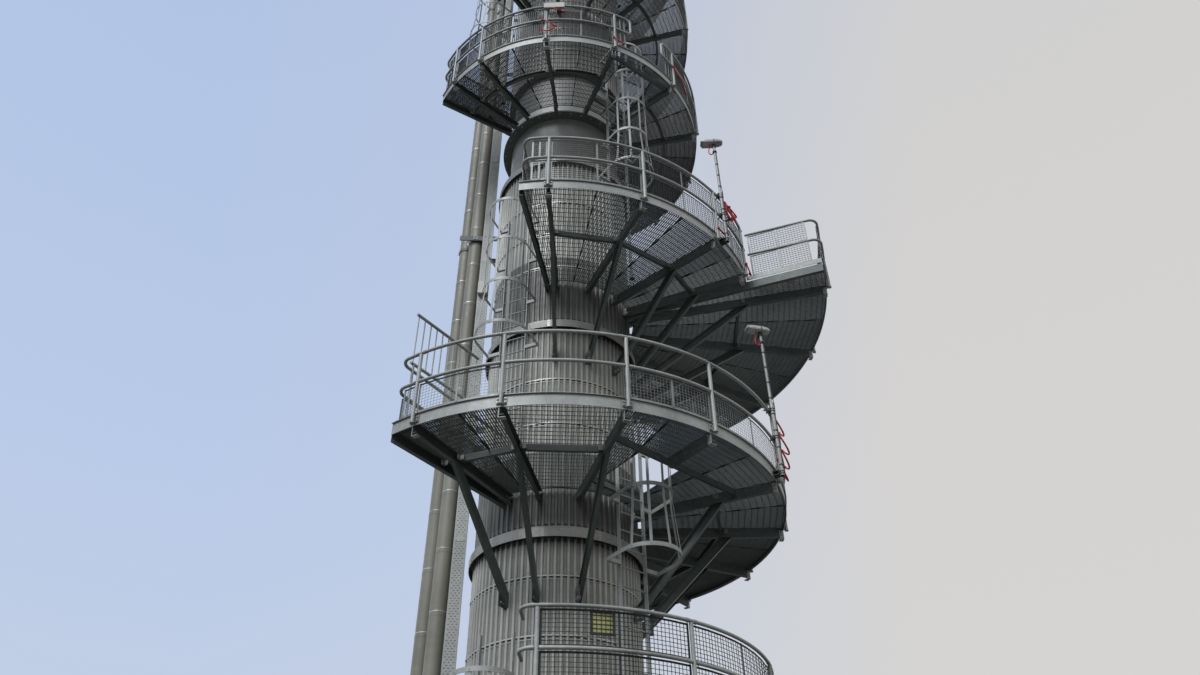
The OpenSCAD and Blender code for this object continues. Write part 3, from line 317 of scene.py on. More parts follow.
class Mesh:
    """Collects bars, tubes and bolts, and becomes one object."""

    def __init__(self):
        self.v, self.f = [], []

    def add(self, pts, faces):
        n = len(self.v)
        self.v += [tuple(p) for p in pts]
        self.f += [tuple(i + n for i in f) for f in faces]

    def loft(self, sections):
        """Joins outlines of the same number of points, and caps both ends."""
        self.add([q for sec in sections for q in sec], skin(len(sections), len(sections[0])))

    def bar(self, a, b, w, h, up=UP, ends=True):
        """A rectangular bar from a to b, w across and h along up."""
        a, b = Vector(a), Vector(b)
        d = (b - a).normalized()
        s = d.cross(Vector(up))
        if s.length < 1e-6:
            s = d.cross(Vector((1, 0, 0)))
        s.normalize()
        u = s.cross(d) * (h / 2)
        s *= w / 2
        q = [s + u, u - s, -s - u, s - u]
        self.add([a + k for k in q] + [b + k for k in q], skin(2, 4, first=ends, last=ends))

    def tube(self, path, r, sides=8):
        path = [Vector(p) for p in path]
        rings, s = [], None
        for i, p in enumerate(path):
            d = (path[min(i + 1, len(path) - 1)] - path[max(i - 1, 0)]).normalized()
            s = across(d) if s is None else (s - d * s.dot(d)).normalized()
            rings.append(around(p, s, d.cross(s), r, sides))
        self.loft(rings)

    def bolt(self, p, axis, r, h, washer=True):
        """A hexagon head that stands out along axis, on a washer or bare."""
        p, d = Vector(p), Vector(axis).normalized()
        s = across(d)
        u = d.cross(s)
        seat = p + d * (h * 0.25) if washer else p
        if washer:
            self.add(around(p, s, u, r * 1.5, 8) + around(seat, s, u, r * 1.5, 8), skin(2, 8, first=False))
        self.add(around(seat, s, u, r, 6) + around(p + d * h, s, u, r * 0.97, 6), skin(2, 6, first=False))

    def hoop(self, r, z, w, h, a1=0, a2=360, step=0.28):
        """A flat bar rolled round the column's axis, w deep and h high."""
        n = max(1, math.ceil(math.radians(abs(a2 - a1)) * r / step))
        corners = ((w / 2, h / 2), (-w / 2, h / 2), (-w / 2, -h / 2), (w / 2, -h / 2))
        pts = [cyl(r + dr, a1 + (a2 - a1) * i / n, z + dz) for i in range(n + 1) for dr, dz in corners]
        ends = abs(a2 - a1) < 359.9
        self.add(pts, skin(n + 1, 4, first=ends, last=ends))

    def make(self, name, material, slot=None, smooth=False):
        """The object, on the column's one body. Only the floor has no slot and rides on nothing."""
        me = bpy.data.meshes.new(name)
        me.from_pydata(self.v, [], self.f)
        me.materials.append(M[material])
        if smooth:
            for p in me.polygons:
                p.use_smooth = True
        me.update()
        o = bpy.data.objects.new(name, me)
        scene.collection.objects.link(o)
        if slot:
            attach(o, "root")
        return o


def meshes(n):
    return [Mesh() for _ in range(n)]


# Camera, light, floor
cam_data = bpy.data.cameras.new("camera")
cam_data.lens, cam_data.sensor_width, cam_data.clip_end = 27, 36, 300
cam = bpy.data.objects.new("camera", cam_data)
scene.collection.objects.link(cam)
yaw, pitch, roll = math.radians(3.17), math.radians(38.75), math.radians(-0.92)
forward = Vector((math.sin(yaw) * math.cos(pitch), math.cos(yaw) * math.cos(pitch), math.sin(pitch)))
cam.location = (0, -13.29, 1.6)
cam.rotation_mode = "QUATERNION"
cam.rotation_quaternion = forward.to_track_quat("-Z", "Y") @ Matrix.Rotation(roll, 4, "Z").to_quaternion()
scene.camera = cam

world = bpy.data.worlds.new("sky")
scene.world = world
world.use_nodes = True
wt = world.node_tree
wt.nodes.clear()
way = node(wt, "ShaderNodeSeparateXYZ", Vector=node(wt, "ShaderNodeTexCoord").outputs["Generated"]).outputs
sky = ramp(wt, way["Z"], (0.0, 0.16), (0.16, (0.50, 0.51, 0.53)), (0.7, (0.96, 0.98, 1.0)))
blue = ramp(wt, way["Z"], (0.0, lin(202, 210, 224)), (0.45, lin(186, 203, 232)), (1.0, lin(172, 192, 226)))
cream = ramp(wt, way["Z"], (0.0, lin(214, 214, 212)), (0.5, lin(214, 211, 208)), (1.0, lin(208, 207, 206)))
to_right = ramp(wt, calc(wt, "ADD", way["X"], 0.5), (0.15, 0), (0.5, 0.2), (0.68, 0.6), (0.86, 0.95))
light_bg = node(wt, "ShaderNodeBackground", Color=sky, Strength=0.84)
seen_bg = node(wt, "ShaderNodeBackground", Color=mix(wt, blue, cream, to_right))
is_ray = node(wt, "ShaderNodeLightPath").outputs
seen = is_ray["Is Camera Ray"]
for kind in ("Is Glossy Ray", "Is Transmission Ray"):
    seen = calc(wt, "MAXIMUM", seen, is_ray[kind])
mix_shaders(wt, seen, light_bg, seen_bg, node(wt, "ShaderNodeOutputWorld"))

for name, energy, angle, turns in (("sun", 1.9, 30, (44, 0, -32)), ("fill", 0.7, 60, (-52, 0, 14))):
    light = bpy.data.lights.new(name, "SUN")
    light.energy, light.angle = energy, math.radians(angle)
    sun = bpy.data.objects.new(name, light)
    sun.rotation_euler = [math.radians(t) for t in turns]
    scene.collection.objects.link(sun)

scene.view_settings.view_transform = "Standard"

floor = Mesh()
FLOOR_Z, FLOOR_HALF, TILES = -0.002, 30.0, 24
for x0, x1 in split(-FLOOR_HALF, FLOOR_HALF, TILES):
    for y0, y1 in split(-FLOOR_HALF, FLOOR_HALF, TILES):
        floor.add([(x, y, FLOOR_Z) for x, y in ((x0, y0), (x1, y0), (x1, y1), (x0, y1))], [(0, 1, 2, 3)])
# the camera sees the pale floor, and the column gets the light that a darker ground sends up
ft = M["pale_floor"].node_tree
pale = next(n for n in ft.nodes if n.type == "BSDF_PRINCIPLED")
ground = node(ft, "ShaderNodeBsdfDiffuse", Color=lin(92, 92, 90))
floor_out = next(n for n in ft.nodes if n.type == "OUTPUT_MATERIAL")
mix_shaders(ft, node(ft, "ShaderNodeLightPath").outputs["Is Camera Ray"], ground, pale, floor_out)
floor.make("floor", "pale_floor")


# Gratings
def clip_line(p0, d, planes):
    """The stretch of the line p0 + t d inside all the half planes (n, c): n.x <= c."""
    lo, hi = -1e9, 1e9
    for n, c in planes:
        k, s = n.dot(d), c - n.dot(p0)
        if abs(k) < 1e-9:
            if s < 0:
                return None
        elif k > 0:
            hi = min(hi, s / k)
        else:
            lo = max(lo, s / k)
    return (lo, hi) if hi - lo > 0.02 else None


WIDE_BAY = 15  # a wider bay has two panels
GRATING_GAP = 0.004  # from a panel's edge to the beam's middle


def grating(name, p, hatch):
    """Bearing bars that run out from the column, cross rods over them, and a band round each panel."""
    m = Mesh()
    panels = []
    for a1, a2 in zip(edges(p), edges(p)[1:]):
        faces_camera = name == "platform_2" and abs(a1 + a2 + 178) < 40
        panels += split(a1, a2, 2 if a2 - a1 > WIDE_BAY and not faces_camera else 1)
    z_top = p["z"] + DECK_OVER
    z_mid = z_top - GRATING_T / 2
    r_in, r_out = CREST_R + 0.06, p["r"] - 0.010
    pitch = 0.036 if name in LOWER else 0.030
    bar_w = 0.004 if name in LOWER[:2] else 0.006
    hatch_out = min(p["r"] - 0.26, 2.70)
    ha, hb = radial(HATCH_A), tangent(HATCH_A)
    hatch_planes = [(ha, hatch_out), (-ha, -HATCH_IN), (hb, HATCH_HALF), (-hb, HATCH_HALF)]

    def run(p0, d, lo, hi, z, w, h):
        """Bars along p0 + t d from lo to hi, except over the hatch."""
        out = [(lo, hi)]
        hit = hatch and clip_line(p0, d, hatch_planes)
        if hit and hit[1] > lo and hit[0] < hi:
            out = [(lo, hit[0]), (hit[1], hi)]
        for q0, q1 in out:
            if q1 - q0 > 0.03:
                m.bar(d * q0 + p0 + UP * z, d * q1 + p0 + UP * z, w, h, ends=False)

    for a1, a2 in panels:
        mid, half = (a1 + a2) / 2, math.radians((a2 - a1) / 2)
        ux, uy = radial(mid), tangent(mid)
        k = math.tan(half)
        n = int(r_out * math.sin(half) / pitch)
        for j in range(-n, n + 1):
            y = j * pitch
            lo = max(math.sqrt(max(r_in ** 2 - y * y, 0)), (abs(y) + GRATING_GAP) / k)
            hi = math.sqrt(max(r_out ** 2 - y * y, 0))
            if hi - lo >= 0.05:
                run(uy * y, ux, lo, hi, z_mid, bar_w, GRATING_T)
        x = r_in * math.cos(half) + 0.05
        while x < r_out:
            w = min(x * k - GRATING_GAP, math.sqrt(max(r_out ** 2 - x * x, 0)))
            inner = math.sqrt(max(r_in ** 2 - x * x, 0)) if x < r_in else 0
            for lo, hi in ([(-w, -inner), (inner, w)] if inner > 0.01 else [(-w, w)]):
                run(ux * x, uy, lo, hi, z_top - 0.005, 0.008, 0.008)
            x += 0.1
        for s, a in ((1, a1), (-1, a2)):
            run(tangent(a) * s * GRATING_GAP, radial(a), r_in, r_out, z_mid, 0.005, GRATING_T)
        for r in (r_in + 0.003, r_out - 0.003):
            for b1, b2 in split(a1, a2, 6):
                m.bar(cyl(r, b1, z_mid), cyl(r, b2, z_mid), 0.005, GRATING_T, ends=False)
    if hatch:
        c = [ha * x + hb * y + UP * z_mid for x, y in (
            (HATCH_IN, -HATCH_HALF), (hatch_out, -HATCH_HALF), (hatch_out, HATCH_HALF), (HATCH_IN, HATCH_HALF))]
        for a, b in zip(c, c[1:] + c[:1]):
            m.bar(a, b, 0.006, GRATING_T)
    return m


for name, p in PLATFORMS.items():
    if name == "platform_3w":
        continue
    m = grating(name, p, p["hatch"])
    if name == "platform_3":
        wide = grating(name, PLATFORMS["platform_3w"], False)
        m.add(wide.v, wide.f)
    o = m.make(name + "_grating", "grating" if name in LOWER else "grating_upper_shaded", "grating")
    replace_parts(o, name + "_deck")


# Guards: woven mesh or bars
def infill_rows(z0, z1, pitch):
    n = max(2, round((z1 - z0) / pitch))
    return [z0 + (z1 - z0) * i / n for i in range(1, n)]


def mesh_panel(wires, trim, r, z0, z1, a1, a2, pitch, wire, rows=True):
    """Infill of one bay, woven or of upright bars, with a flat border and a stiffener in its middle."""
    n = max(2, round((a2 - a1) / math.degrees(1 / r) / pitch))
    for i in range(1, n):
        a = a1 + (a2 - a1) * i / n
        weave = wire * (0.45 if i % 2 else -0.45) if rows else 0
        wires.bar(cyl(r + weave, a, z0), cyl(r + weave, a, z1), wire, wire, up=radial(a), ends=False)
    for z in infill_rows(z0, z1, pitch) if rows else ():
        wires.hoop(r, z, wire, wire, a1, a2)
    for z in (z0, z1):
        trim.hoop(r, z, 0.005, 0.025, a1, a2)
    for a in (a1, (a1 + a2) / 2, a2):
        trim.bar(cyl(r + 0.006, a, z0 - 0.012), cyl(r + 0.006, a, z1 + 0.012), 0.03, 0.005, up=radial(a))


def mesh_end(wires, trim, a, side, r0, r1, z0, z1, pitch, wire, rows=True):
    """The same infill along a platform's straight end, from r0 out to r1."""
    d, t = radial(a), tangent(a) * (side * 0.018)
    n = max(2, round((r1 - r0) / pitch))
    for i in range(1, n):
        q = d * (r0 + (r1 - r0) * i / n) + t
        wires.bar(q + UP * z0, q + UP * z1, wire, wire, up=d, ends=False)
    for z in infill_rows(z0, z1, pitch) if rows else ():
        wires.bar(d * r0 + t + UP * z, d * r1 + t + UP * z, wire, wire, ends=False)
    for z in (z0, z1):
        trim.bar(d * r0 + t + UP * z, d * r1 + t + UP * z, 0.005, 0.025)
    for r in (r0, (r0 + r1) / 2, r1):
        q = d * r + t * 1.4
        trim.bar(q + UP * z0, q + UP * z1, 0.03, 0.005, up=tangent(a))


END_IN = 1.45  # where the infill of a straight end starts, and where it does beside a landing
LEFT_END_IN = {
    "platform_1": LANDING_R + 0.05, "platform_3": LANDING_R + 0.05, "platform_3w": 3.75,
    "platform_5": LANDING_R + 0.03, "platform_7": LANDING_R + 0.03,
}
END_BEND = 0.17  # room for the rails' bends at a corner
for name, p in PLATFORMS.items():
    dark_wires, dark_trim, light_wires, light_trim = meshes(4)
    e, posts = edges(p), p["posts"]
    r = p["r"] + 0.020
    low, high = p["z"] + TOE_H + 0.015, p["z"] + RAIL_TOP - 0.04
    middle = p["z"] + RAIL_MID - 0.04
    pad = math.degrees(0.04 / p["r"])
    if name == "platform_2":
        kit, style = (light_wires, light_trim), (0.05, 0.0035)
        for a1, a2 in zip(posts, posts[1:]):
            if a1 >= -76 or a1 == -122:
                mesh_panel(*kit, r, low, middle, a1 + pad, a2 - pad, *style)
        mesh_panel(*kit, r, low, middle, e[0] + 2.4, posts[0] - pad, *style)
        mesh_end(*kit, e[0], -1, 1.75, p["r"] - 0.1, low, middle, *style)
        mesh_end(*kit, e[-1], 1, END_IN, p["r"] - 0.1, low, middle, *style)
    else:
        kit = (dark_wires, dark_trim if name == "platform_1" else light_trim)
        if name == "platform_1":
            style = (0.055, 0.006, True)
        else:
            style = (0.05, 0.0055, True) if name.startswith("platform_3") else (0.042, 0.016, False)
        heights = ((low, middle), (middle + 0.08, high))
        for a1, a2 in zip(posts, posts[1:]):
            spans = [(a1 + pad, a2 - pad)]
            if name == "platform_4" and a1 == -71:
                gate = math.degrees(0.13 / p["r"])
                spans = [(a1 + pad, -64 - gate), (-48 + gate, a2 - pad)]
            for b1, b2 in spans:
                for z0, z1 in heights:
                    mesh_panel(*kit, r, z0, z1, b1, b2, *style)
        for side, a, post_a in ((-1, e[0], posts[0]), (1, e[-1], posts[-1])):
            if side > 0 and not p["end"]:
                continue
            b1, b2 = sorted((a - side * math.degrees(END_BEND / p["r"]), post_a + side * pad))
            start = LEFT_END_IN.get(name, END_IN) if side < 0 else END_IN
            for z0, z1 in heights if b2 - b1 > 1.5 else ():
                mesh_panel(*kit, r, z0, z1, b1, b2, *style)
            for z0, z1 in heights if p["r"] - END_BEND - start > 0.15 else ():
                mesh_end(*kit, a, side, start, p["r"] - END_BEND, z0, z1, *style)
    for m, kind, material in ((dark_wires, "mesh", "mesh_black"), (dark_trim, "trim", "mesh_black"),
                              (light_wires, "zinc_mesh", "mesh_zinc"), (light_trim, "zinc_trim", "mesh_zinc")):
        if m.v:
            m.make(name + "_" + kind, material, "galvanised")

# Fasteners and fittings on the platforms
BRACED_UNDER, BRACE_DROP = 13, 1.6  # the platforms below this height have knee braces, so far down


def through(m, c, t, head, nut, r, head_h, nut_h):
    """A bolt through a plate: its head and its nut stand off c by these two distances, against t."""
    m.bolt(c - t * head, -t, r, head_h)
    m.bolt(c - t * nut, t, r, nut_h)


for name, p in PLATFORMS.items():
    bolts, plates = meshes(2)
    z, r = p["z"], p["r"]
    beam_z = z + 0.0477
    for a in p["posts"]:
        d, t = radial(a), tangent(a)
        for dy in (-0.052, 0.052):
            for dz in (0.058, 0.112):
                bolts.bolt(cyl(r + 0.0165, a, z + dz) + t * dy, d, 0.012, 0.016)
        for dy in (-0.029, 0.029):
            bolts.bolt(cyl(r + 0.035, a, z + 0.145) + t * dy, UP, 0.006, 0.012, washer=False)
        for h in (RAIL_TOP, RAIL_MID):
            for s in SIDES:
                c = cyl(rail_r(p), a, z + h) + t * (s * 0.062)
                plates.tube([c - t * 0.022, c + t * 0.022], 0.0275, 12)
                bolts.bolt(c - UP * 0.0275, -UP, 0.007, 0.01, washer=False)
        plates.tube([cyl(rail_r(p), a, z + 0.008), cyl(rail_r(p), a, z + 0.022)], 0.034, 16)
        # the light angle that closes a beam's end under the rim
        c = cyl(r - 0.045, a, z) - t * 0.038
        foot = c - UP * 0.15
        plates.bar(c + UP * 0.002, foot, 0.008, 0.07, up=d)
        plates.bar(foot - t * 0.004, foot + t * 0.095, 0.07, 0.008)
        for dz in (-0.03, -0.08):
            bolts.bolt(c + UP * dz - t * 0.004, -t, 0.011, 0.013)
    beams = edges(p) if p["end"] else edges(p)[:-1]
    beams = [a for a in beams if not (p["hatch"] and abs(a - HATCH_A) < 10)]
    cross_r = CREST_R + (r - CREST_R) * 0.57
    for a in beams:
        t = tangent(a)
        for rr in (1.352, 1.418):
            for dz in (-0.045, -0.115):
                through(bolts, cyl(rr, a, beam_z + dz), t, 0.0449, 0.0244, 0.012, 0.015, 0.014)
        if z < BRACED_UNDER and a in p["posts"]:
            for rr in (1.35, 1.415):
                for dz in (-0.055, 0.055):
                    through(bolts, cyl(rr, a, z - BRACE_DROP + dz), t, 0.0424, 0.0219, 0.013, 0.017, 0.015)
            for dr in (0.0, 0.12):
                for dy in (-0.018, 0.018):
                    bolts.bolt(cyl(cross_r + dr, a, beam_z - 0.152) + t * dy, UP, 0.009, 0.012)
    # end cleats of the cross channels
    for a in beams:
        d, t = radial(a), tangent(a)
        for s in SIDES:
            if (s < 0 and a == beams[0]) or (s > 0 and a == beams[-1] and p["end"]):
                continue
            c = cyl(cross_r + 0.038, a, beam_z - 0.055) + t * (s * 0.036)
            plates.bar(c, c + t * (s * 0.07), 0.007, 0.075)
            plates.bar(c - d * 0.004, c + d * 0.06, 0.007, 0.075)
            for dz in (-0.02, 0.02):
                bolts.bolt(c + d * 0.035 + t * (s * 0.004) + UP * dz, t * s, 0.009, 0.012)
    # saddle clips that hold the grating down on the beams
    for a in beams[1:-1]:
        t = tangent(a)
        n = int((r - 1.6) / 0.55)
        for i in range(n + 1):
            c = cyl(1.55 + (r - 1.75) * i / max(n, 1), a, z + DECK_OVER + 0.003)
            plates.bar(c - t * 0.035, c + t * 0.035, 0.03, 0.004)
            bolts.bolt(c, UP, 0.008, 0.01, washer=False)
    bolts.make(name + "_bolts", "bolt_zinc", "galvanised")
    plates.make(name + "_fittings", "galvanised", "galvanised")

# Cladding: dark blocks of painted shade in the valleys, straps, screws, laps
SHEETS = {  # a length's lower edge, and the laps between its sheets
    3.92: (5.23, 6.08, 6.93), 7.6963: (9.5, 10.36), 11.6163: (12.9, 13.75, 14.6),
    18.9: (19.75, 20.6, 22.3, 23.15), 24.4963: (26.7, 27.55, 28.4),
}
FLASHINGS = (7.50, 11.42, 15.72, 24.30, 30.85)
SCREW_AT = 0.71  # the middle of a crest, in steps
valley_shade_blocks, straps, screws = meshes(3)


def valley_shade_block(r, z, w, h, first, last):
    """A dark block of painted shade in each valley, its two ends in steps from the rib."""
    for i in range(RIBS):
        valley_shade_blocks.bar(cyl(r, (i + first) * STEP, z), cyl(r, (i + last) * STEP, z), w, h, ends=False)


def screw_ring(r, z, angles, size, h):
    for a in angles:
        screws.bolt(cyl(r, a, z), radial(a), size, h)


VALLEY_MID = (VALLEY_R + CREST_R) / 2 - 0.001
for sheet_z, laps in SHEETS.items():
    valley_shade_block(VALLEY_MID, sheet_z + 0.02, 0.014, 0.03, -0.10, 0.50)
    for z in laps:
        valley_shade_block(VALLEY_MID, z - 0.006, 0.014, 0.022, -0.10, 0.50)
        straps.hoop(CREST_R + 0.0012, z, 0.0014, 0.022, step=0.1)
        straps.hoop(CREST_R + 0.0008, z - 0.05, 0.001, 0.008, step=0.1)
        for a in (12, 102, 192, 282):
            c, t = cyl(CREST_R + 0.007, a, z), tangent(a)
            straps.bar(c - t * 0.035, c + t * 0.035, 0.010, 0.026)
            screws.bolt(c + radial(a) * 0.004 + t * 0.02, radial(a), 0.006, 0.008, washer=False)
        screw_ring(CREST_R, z + 0.05, [(i + SCREW_AT) * STEP for i in range(0, RIBS, 2)], 0.0055, 0.006)
for z in FLASHINGS:
    valley_shade_block(VALLEY_R + 0.006, z - 0.03, 0.010, 0.034, 0.02, 0.42)
    screw_ring(CREST_R, z - 0.075, [(i + SCREW_AT) * STEP for i in range(RIBS)], 0.0055, 0.006)
    screw_ring(FLASH_R, z + 0.03, [i * 6 + 1.5 for i in range(60)], 0.006, 0.007)
    for a in range(9, 369, 36):
        r = FLASH_R + 0.001
        straps.bar(cyl(r, a, z + 0.003), cyl(r, a, z + FLASH_H - 0.042), 0.05, 0.0016, up=radial(a))
        for dz in (0.06, 0.11):
            screw_ring(FLASH_R + 0.002, z + dz, [a], 0.006, 0.007)
valley_shade_blocks.make("cladding_valley_shade", "gap_shade", "cladding")
straps.make("cladding_straps", "strap_steel", "cladding")
screws.make("cladding_screws", "bolt_zinc", "cladding")

# Vessel and base: welds, studs, manways
welds, studs, arms = meshes(3)
WELD_R = SHELL_R + 0.0015
for z in (16.62, 18.2, 30.5):
    welds.hoop(WELD_R, z, 0.003, 0.022, step=0.08)
for a, z0, z1 in ((-72, 15.93, 16.61), (-118, 16.63, 18.19), (60, 15.93, 16.61), (150, 16.63, 18.19),
                  (-30, 18.21, 18.9)):
    welds.bar(cyl(WELD_R, a, z0), cyl(WELD_R, a, z1), 0.022, 0.003, up=radial(a))
for i in range(36):
    studs.bolt(cyl(SHELL_R + 0.14, i * 10 + 5, 17.3369), -UP, 0.014, 0.02)
for i in range(16):
    c = cyl(1.32, (i + 0.5) * 22.5, 0.3656)
    studs.tube([c, c + UP * 0.1], 0.018, 12)
    studs.bolt(c, UP, 0.034, 0.034)
    studs.bolt(c + UP * 0.036, UP, 0.033, 0.03, washer=False)
MANWAYS = ((4.58, 33), (8.23, 35), (12.42, 17), (17.49, 27), (21.30, 46), (25.40, 27))
COVER_BACK, COVER_FACE = CREST_R + 0.119, CREST_R + 0.12 + 0.0993
DAVIT = 0.47  # the davit's pole beside the middle of the cover
for deck_z, a in MANWAYS:
    d, t = radial(a), tangent(a)
    c = UP * (deck_z + DECK_OVER + 0.9)
    back, face = c + d * COVER_BACK, c + d * COVER_FACE
    for k in range(20):
        g = math.radians(18 * k + 9)
        q = t * (0.36 * math.cos(g)) + UP * (0.36 * math.sin(g))
        studs.tube([back + q - d * 0.035, back + q - d * 0.002], 0.011)
        studs.bolt(back + q, -d, 0.019, 0.022)
        studs.bolt(face + q, d, 0.019, 0.022)
        studs.tube([face + q, face + q + d * 0.035], 0.011)
    # the cover's davit and two handles
    hinge = back + t * DAVIT + d * 0.02
    path = ((0.0, -0.28), (0.0, 0.52), (0.04, 0.58), (0.12, 0.60), (DAVIT - 0.01, 0.60))
    arms.tube([hinge + UP * z - t * y for y, z in path], 0.022, 12)
    for dz in (-0.22, 0.18):
        arms.bar(back + t * 0.38 + d * 0.02 + UP * dz, hinge + UP * dz, 0.05, 0.06)
    hook = face - d * 0.03
    arms.tube([hook + UP * 0.60, hook + UP * 0.42], 0.012)
    arms.bar(back + d * 0.02 + UP * 0.60, face - d * 0.02 + UP * 0.60, 0.03, 0.03)
    arms.bar(hook + UP * 0.43, hook + UP * 0.385, 0.05, 0.02, up=d)
    for s in SIDES:
        h0 = face + t * (s * 0.2)
        arms.tube([h0 + UP * z + d * x for x, z in ((0, -0.06), (0.05, -0.06), (0.05, 0.06), (0, 0.06))], 0.009)
# the flange pair on top of the vessel, and the lifting plates
TOP_FLANGE_Z = 31.2003 + 0.585 - 0.04 + 0.24
for k in range(12):
    q = cyl(0.1825, 30 * k + 15, TOP_FLANGE_Z)
    studs.bolt(q + UP * 0.0725, UP, 0.019, 0.022)
    studs.bolt(q, -UP, 0.019, 0.022)
for a in (45, 135, 225, 315):
    c = cyl(SHELL_R + 0.004, a, 30.72)
    arms.bar(c - UP * 0.12, c + UP * 0.08, 0.16, 0.012, up=radial(a))
welds.make("weld_seams", "shell_paint", "shell_paint")
studs.make("studs", "bolt_zinc", "galvanised")
arms.make("manway_davits", "primer_steel", "primer_steel")


# Ladders: cage bolts, feet and rounded tops
def beside(a, r=LADDER_R):
    """The angle of a ladder whose cage passes beside a platform's end at a."""
    return a - math.degrees(math.asin((CAGE_R + 0.0325 + 0.025) / r))


LADDERS = (  # angle, radius, foot and the deck at its top
    (beside(-98, 2.18), 2.18, SEAT, 4.66), (HATCH_A, LADDER_R, 4.66 + SEAT, 8.31),
    (beside(-101), LADDER_R, 8.31 + SEAT, 12.5), (HATCH_A, LADDER_R, 12.5 + SEAT, 17.57),
    (beside(-128), LADDER_R, 17.57 + SEAT, 21.38), (HATCH_A, LADDER_R, 21.38 + SEAT, 25.48),
    (beside(-128), LADDER_R, 25.48 + SEAT, 29.88),
)
FIRST_HOOP, HOOP_PITCH, STILE_Y = 2.25, 0.95, 0.225
lad_bolts, lad_parts = meshes(2)
for a, r, foot, top in LADDERS:
    d, t, o = radial(a), tangent(a), cyl(r, a, foot)
    h = top + 1.15 - foot
    for i in range(int((h - FIRST_HOOP - 0.06) / HOOP_PITCH) + 1):
        z = FIRST_HOOP + HOOP_PITCH * i + 0.03
        for g in (-72, -36, 0, 36, 72):
            g = math.radians(g)
            n = d * math.cos(g) + t * math.sin(g)
            lad_bolts.bolt(o + d * CAGE_R + n * (CAGE_R if i else CAGE_R + 0.07) + UP * z, n, 0.007, 0.008)
        for s in SIDES:
            lad_bolts.bolt(o + d * 0.015 + t * (s * STILE_Y) + UP * (z - 0.075), t * -s, 0.008, 0.02)
    for s in SIDES:
        q = o + t * (s * (STILE_Y + 0.01))
        lad_parts.bar(q - d * 0.045 + UP * 0.004, q + d * 0.045 + UP * 0.004, 0.06, 0.008)
        lad_parts.bar(q - d * 0.04 + UP * 0.05, q + d * 0.04 + UP * 0.05, 0.007, 0.09)
        for dd in (-0.02, 0.02):
            lad_bolts.bolt(q + d * dd + t * (s * 0.0035) + UP * 0.06, t * s, 0.008, 0.01)
        q = o + t * (s * STILE_Y) + UP * h
        lad_parts.tube([q - d * 0.035, q + d * 0.035], 0.0065)
lad_bolts.make("ladder_bolts", "bolt_zinc", "galvanised")
lad_parts.make("ladder_fittings", "galvanised", "galvanised")

# Lines: laps, bands, clamp bolts
LINES = ((-1.77, 0.0, 0.1425, 2.75, 32.1, -0.1925), (-1.99, 0.28, 0.14, 3.55, 27.1, 0.48))
SUPPORTS = (5.2, 10.0, 14.6, 20.2, 23.6, 28.7)
line_laps, bands = meshes(2)


def pipe_ring(m, x, y, z, r, w, h, n=36):
    """A thin band round a line."""
    corners = ((w, h / 2), (0, h / 2), (0, -h / 2), (w, -h / 2))
    pts = [Vector((x, y, z)) + cyl(r + dr, 360 * i / n, dz) for i in range(n) for dr, dz in corners]
    m.add(pts, skin(n, 4, closed=True, first=False, last=False))


for x, y, r, z, top, arm_y in LINES:
    while z < top:
        if all(abs(z - 0.06 - s) > 0.12 for s in SUPPORTS):
            pipe_ring(line_laps, x, y, z, r, 0.0022, 0.05)
            pipe_ring(bands, x, y, z + 0.045, r, 0.0016, 0.016)
            for g in (-100, -20, 80, 170):
                bands.bolt(Vector((x, y, z)) + cyl(r + 0.002, g, 0), radial(g), 0.004, 0.004, washer=False)
        z += 1.02
for z in SUPPORTS:
    for x, y, r, _, top, arm_y in LINES:
        if top < z:
            continue
        out = math.copysign(1, arm_y)
        for dx in (-0.027, 0.027):
            for dz in (0.04, 0.08):
                bands.bolt((x + dx, arm_y + out * 0.0002, z + dz), (0, out, 0), 0.012, 0.015)
        for s in SIDES:
            lug = x + s * (r + 0.016)
            bands.bar((lug, y, z + 0.025), (lug, y, z + 0.095), 0.012, 0.05)
            for dz in (0.04, 0.08):
                bands.bolt((lug, y - 0.026, z + dz), (0, -1, 0), 0.009, 0.012)
line_laps.make("line_laps", "pipe_cladding", "pipe_cladding")
bands.make("line_bands", "strap_steel", "galvanised")

# Cable tray: slots painted dark as shade, cables, clips, joints
TRAY_X, TRAY_BACK, TRAY_Z0, TRAY_Z1 = -1.52, -0.2528, 2.6, 25.4
TRAY_FRONT = (0, -1, 0)
slots, cables, tray_bits, tray_bolts = meshes(4)


def on_tray(x, y, z):
    return Vector((TRAY_X + x, TRAY_BACK + y, z))


def steps(z, top, pitch):
    """The heights from z to below top, a pitch apart."""
    out = []
    while z < top:
        out.append(z)
        z += pitch
    return out


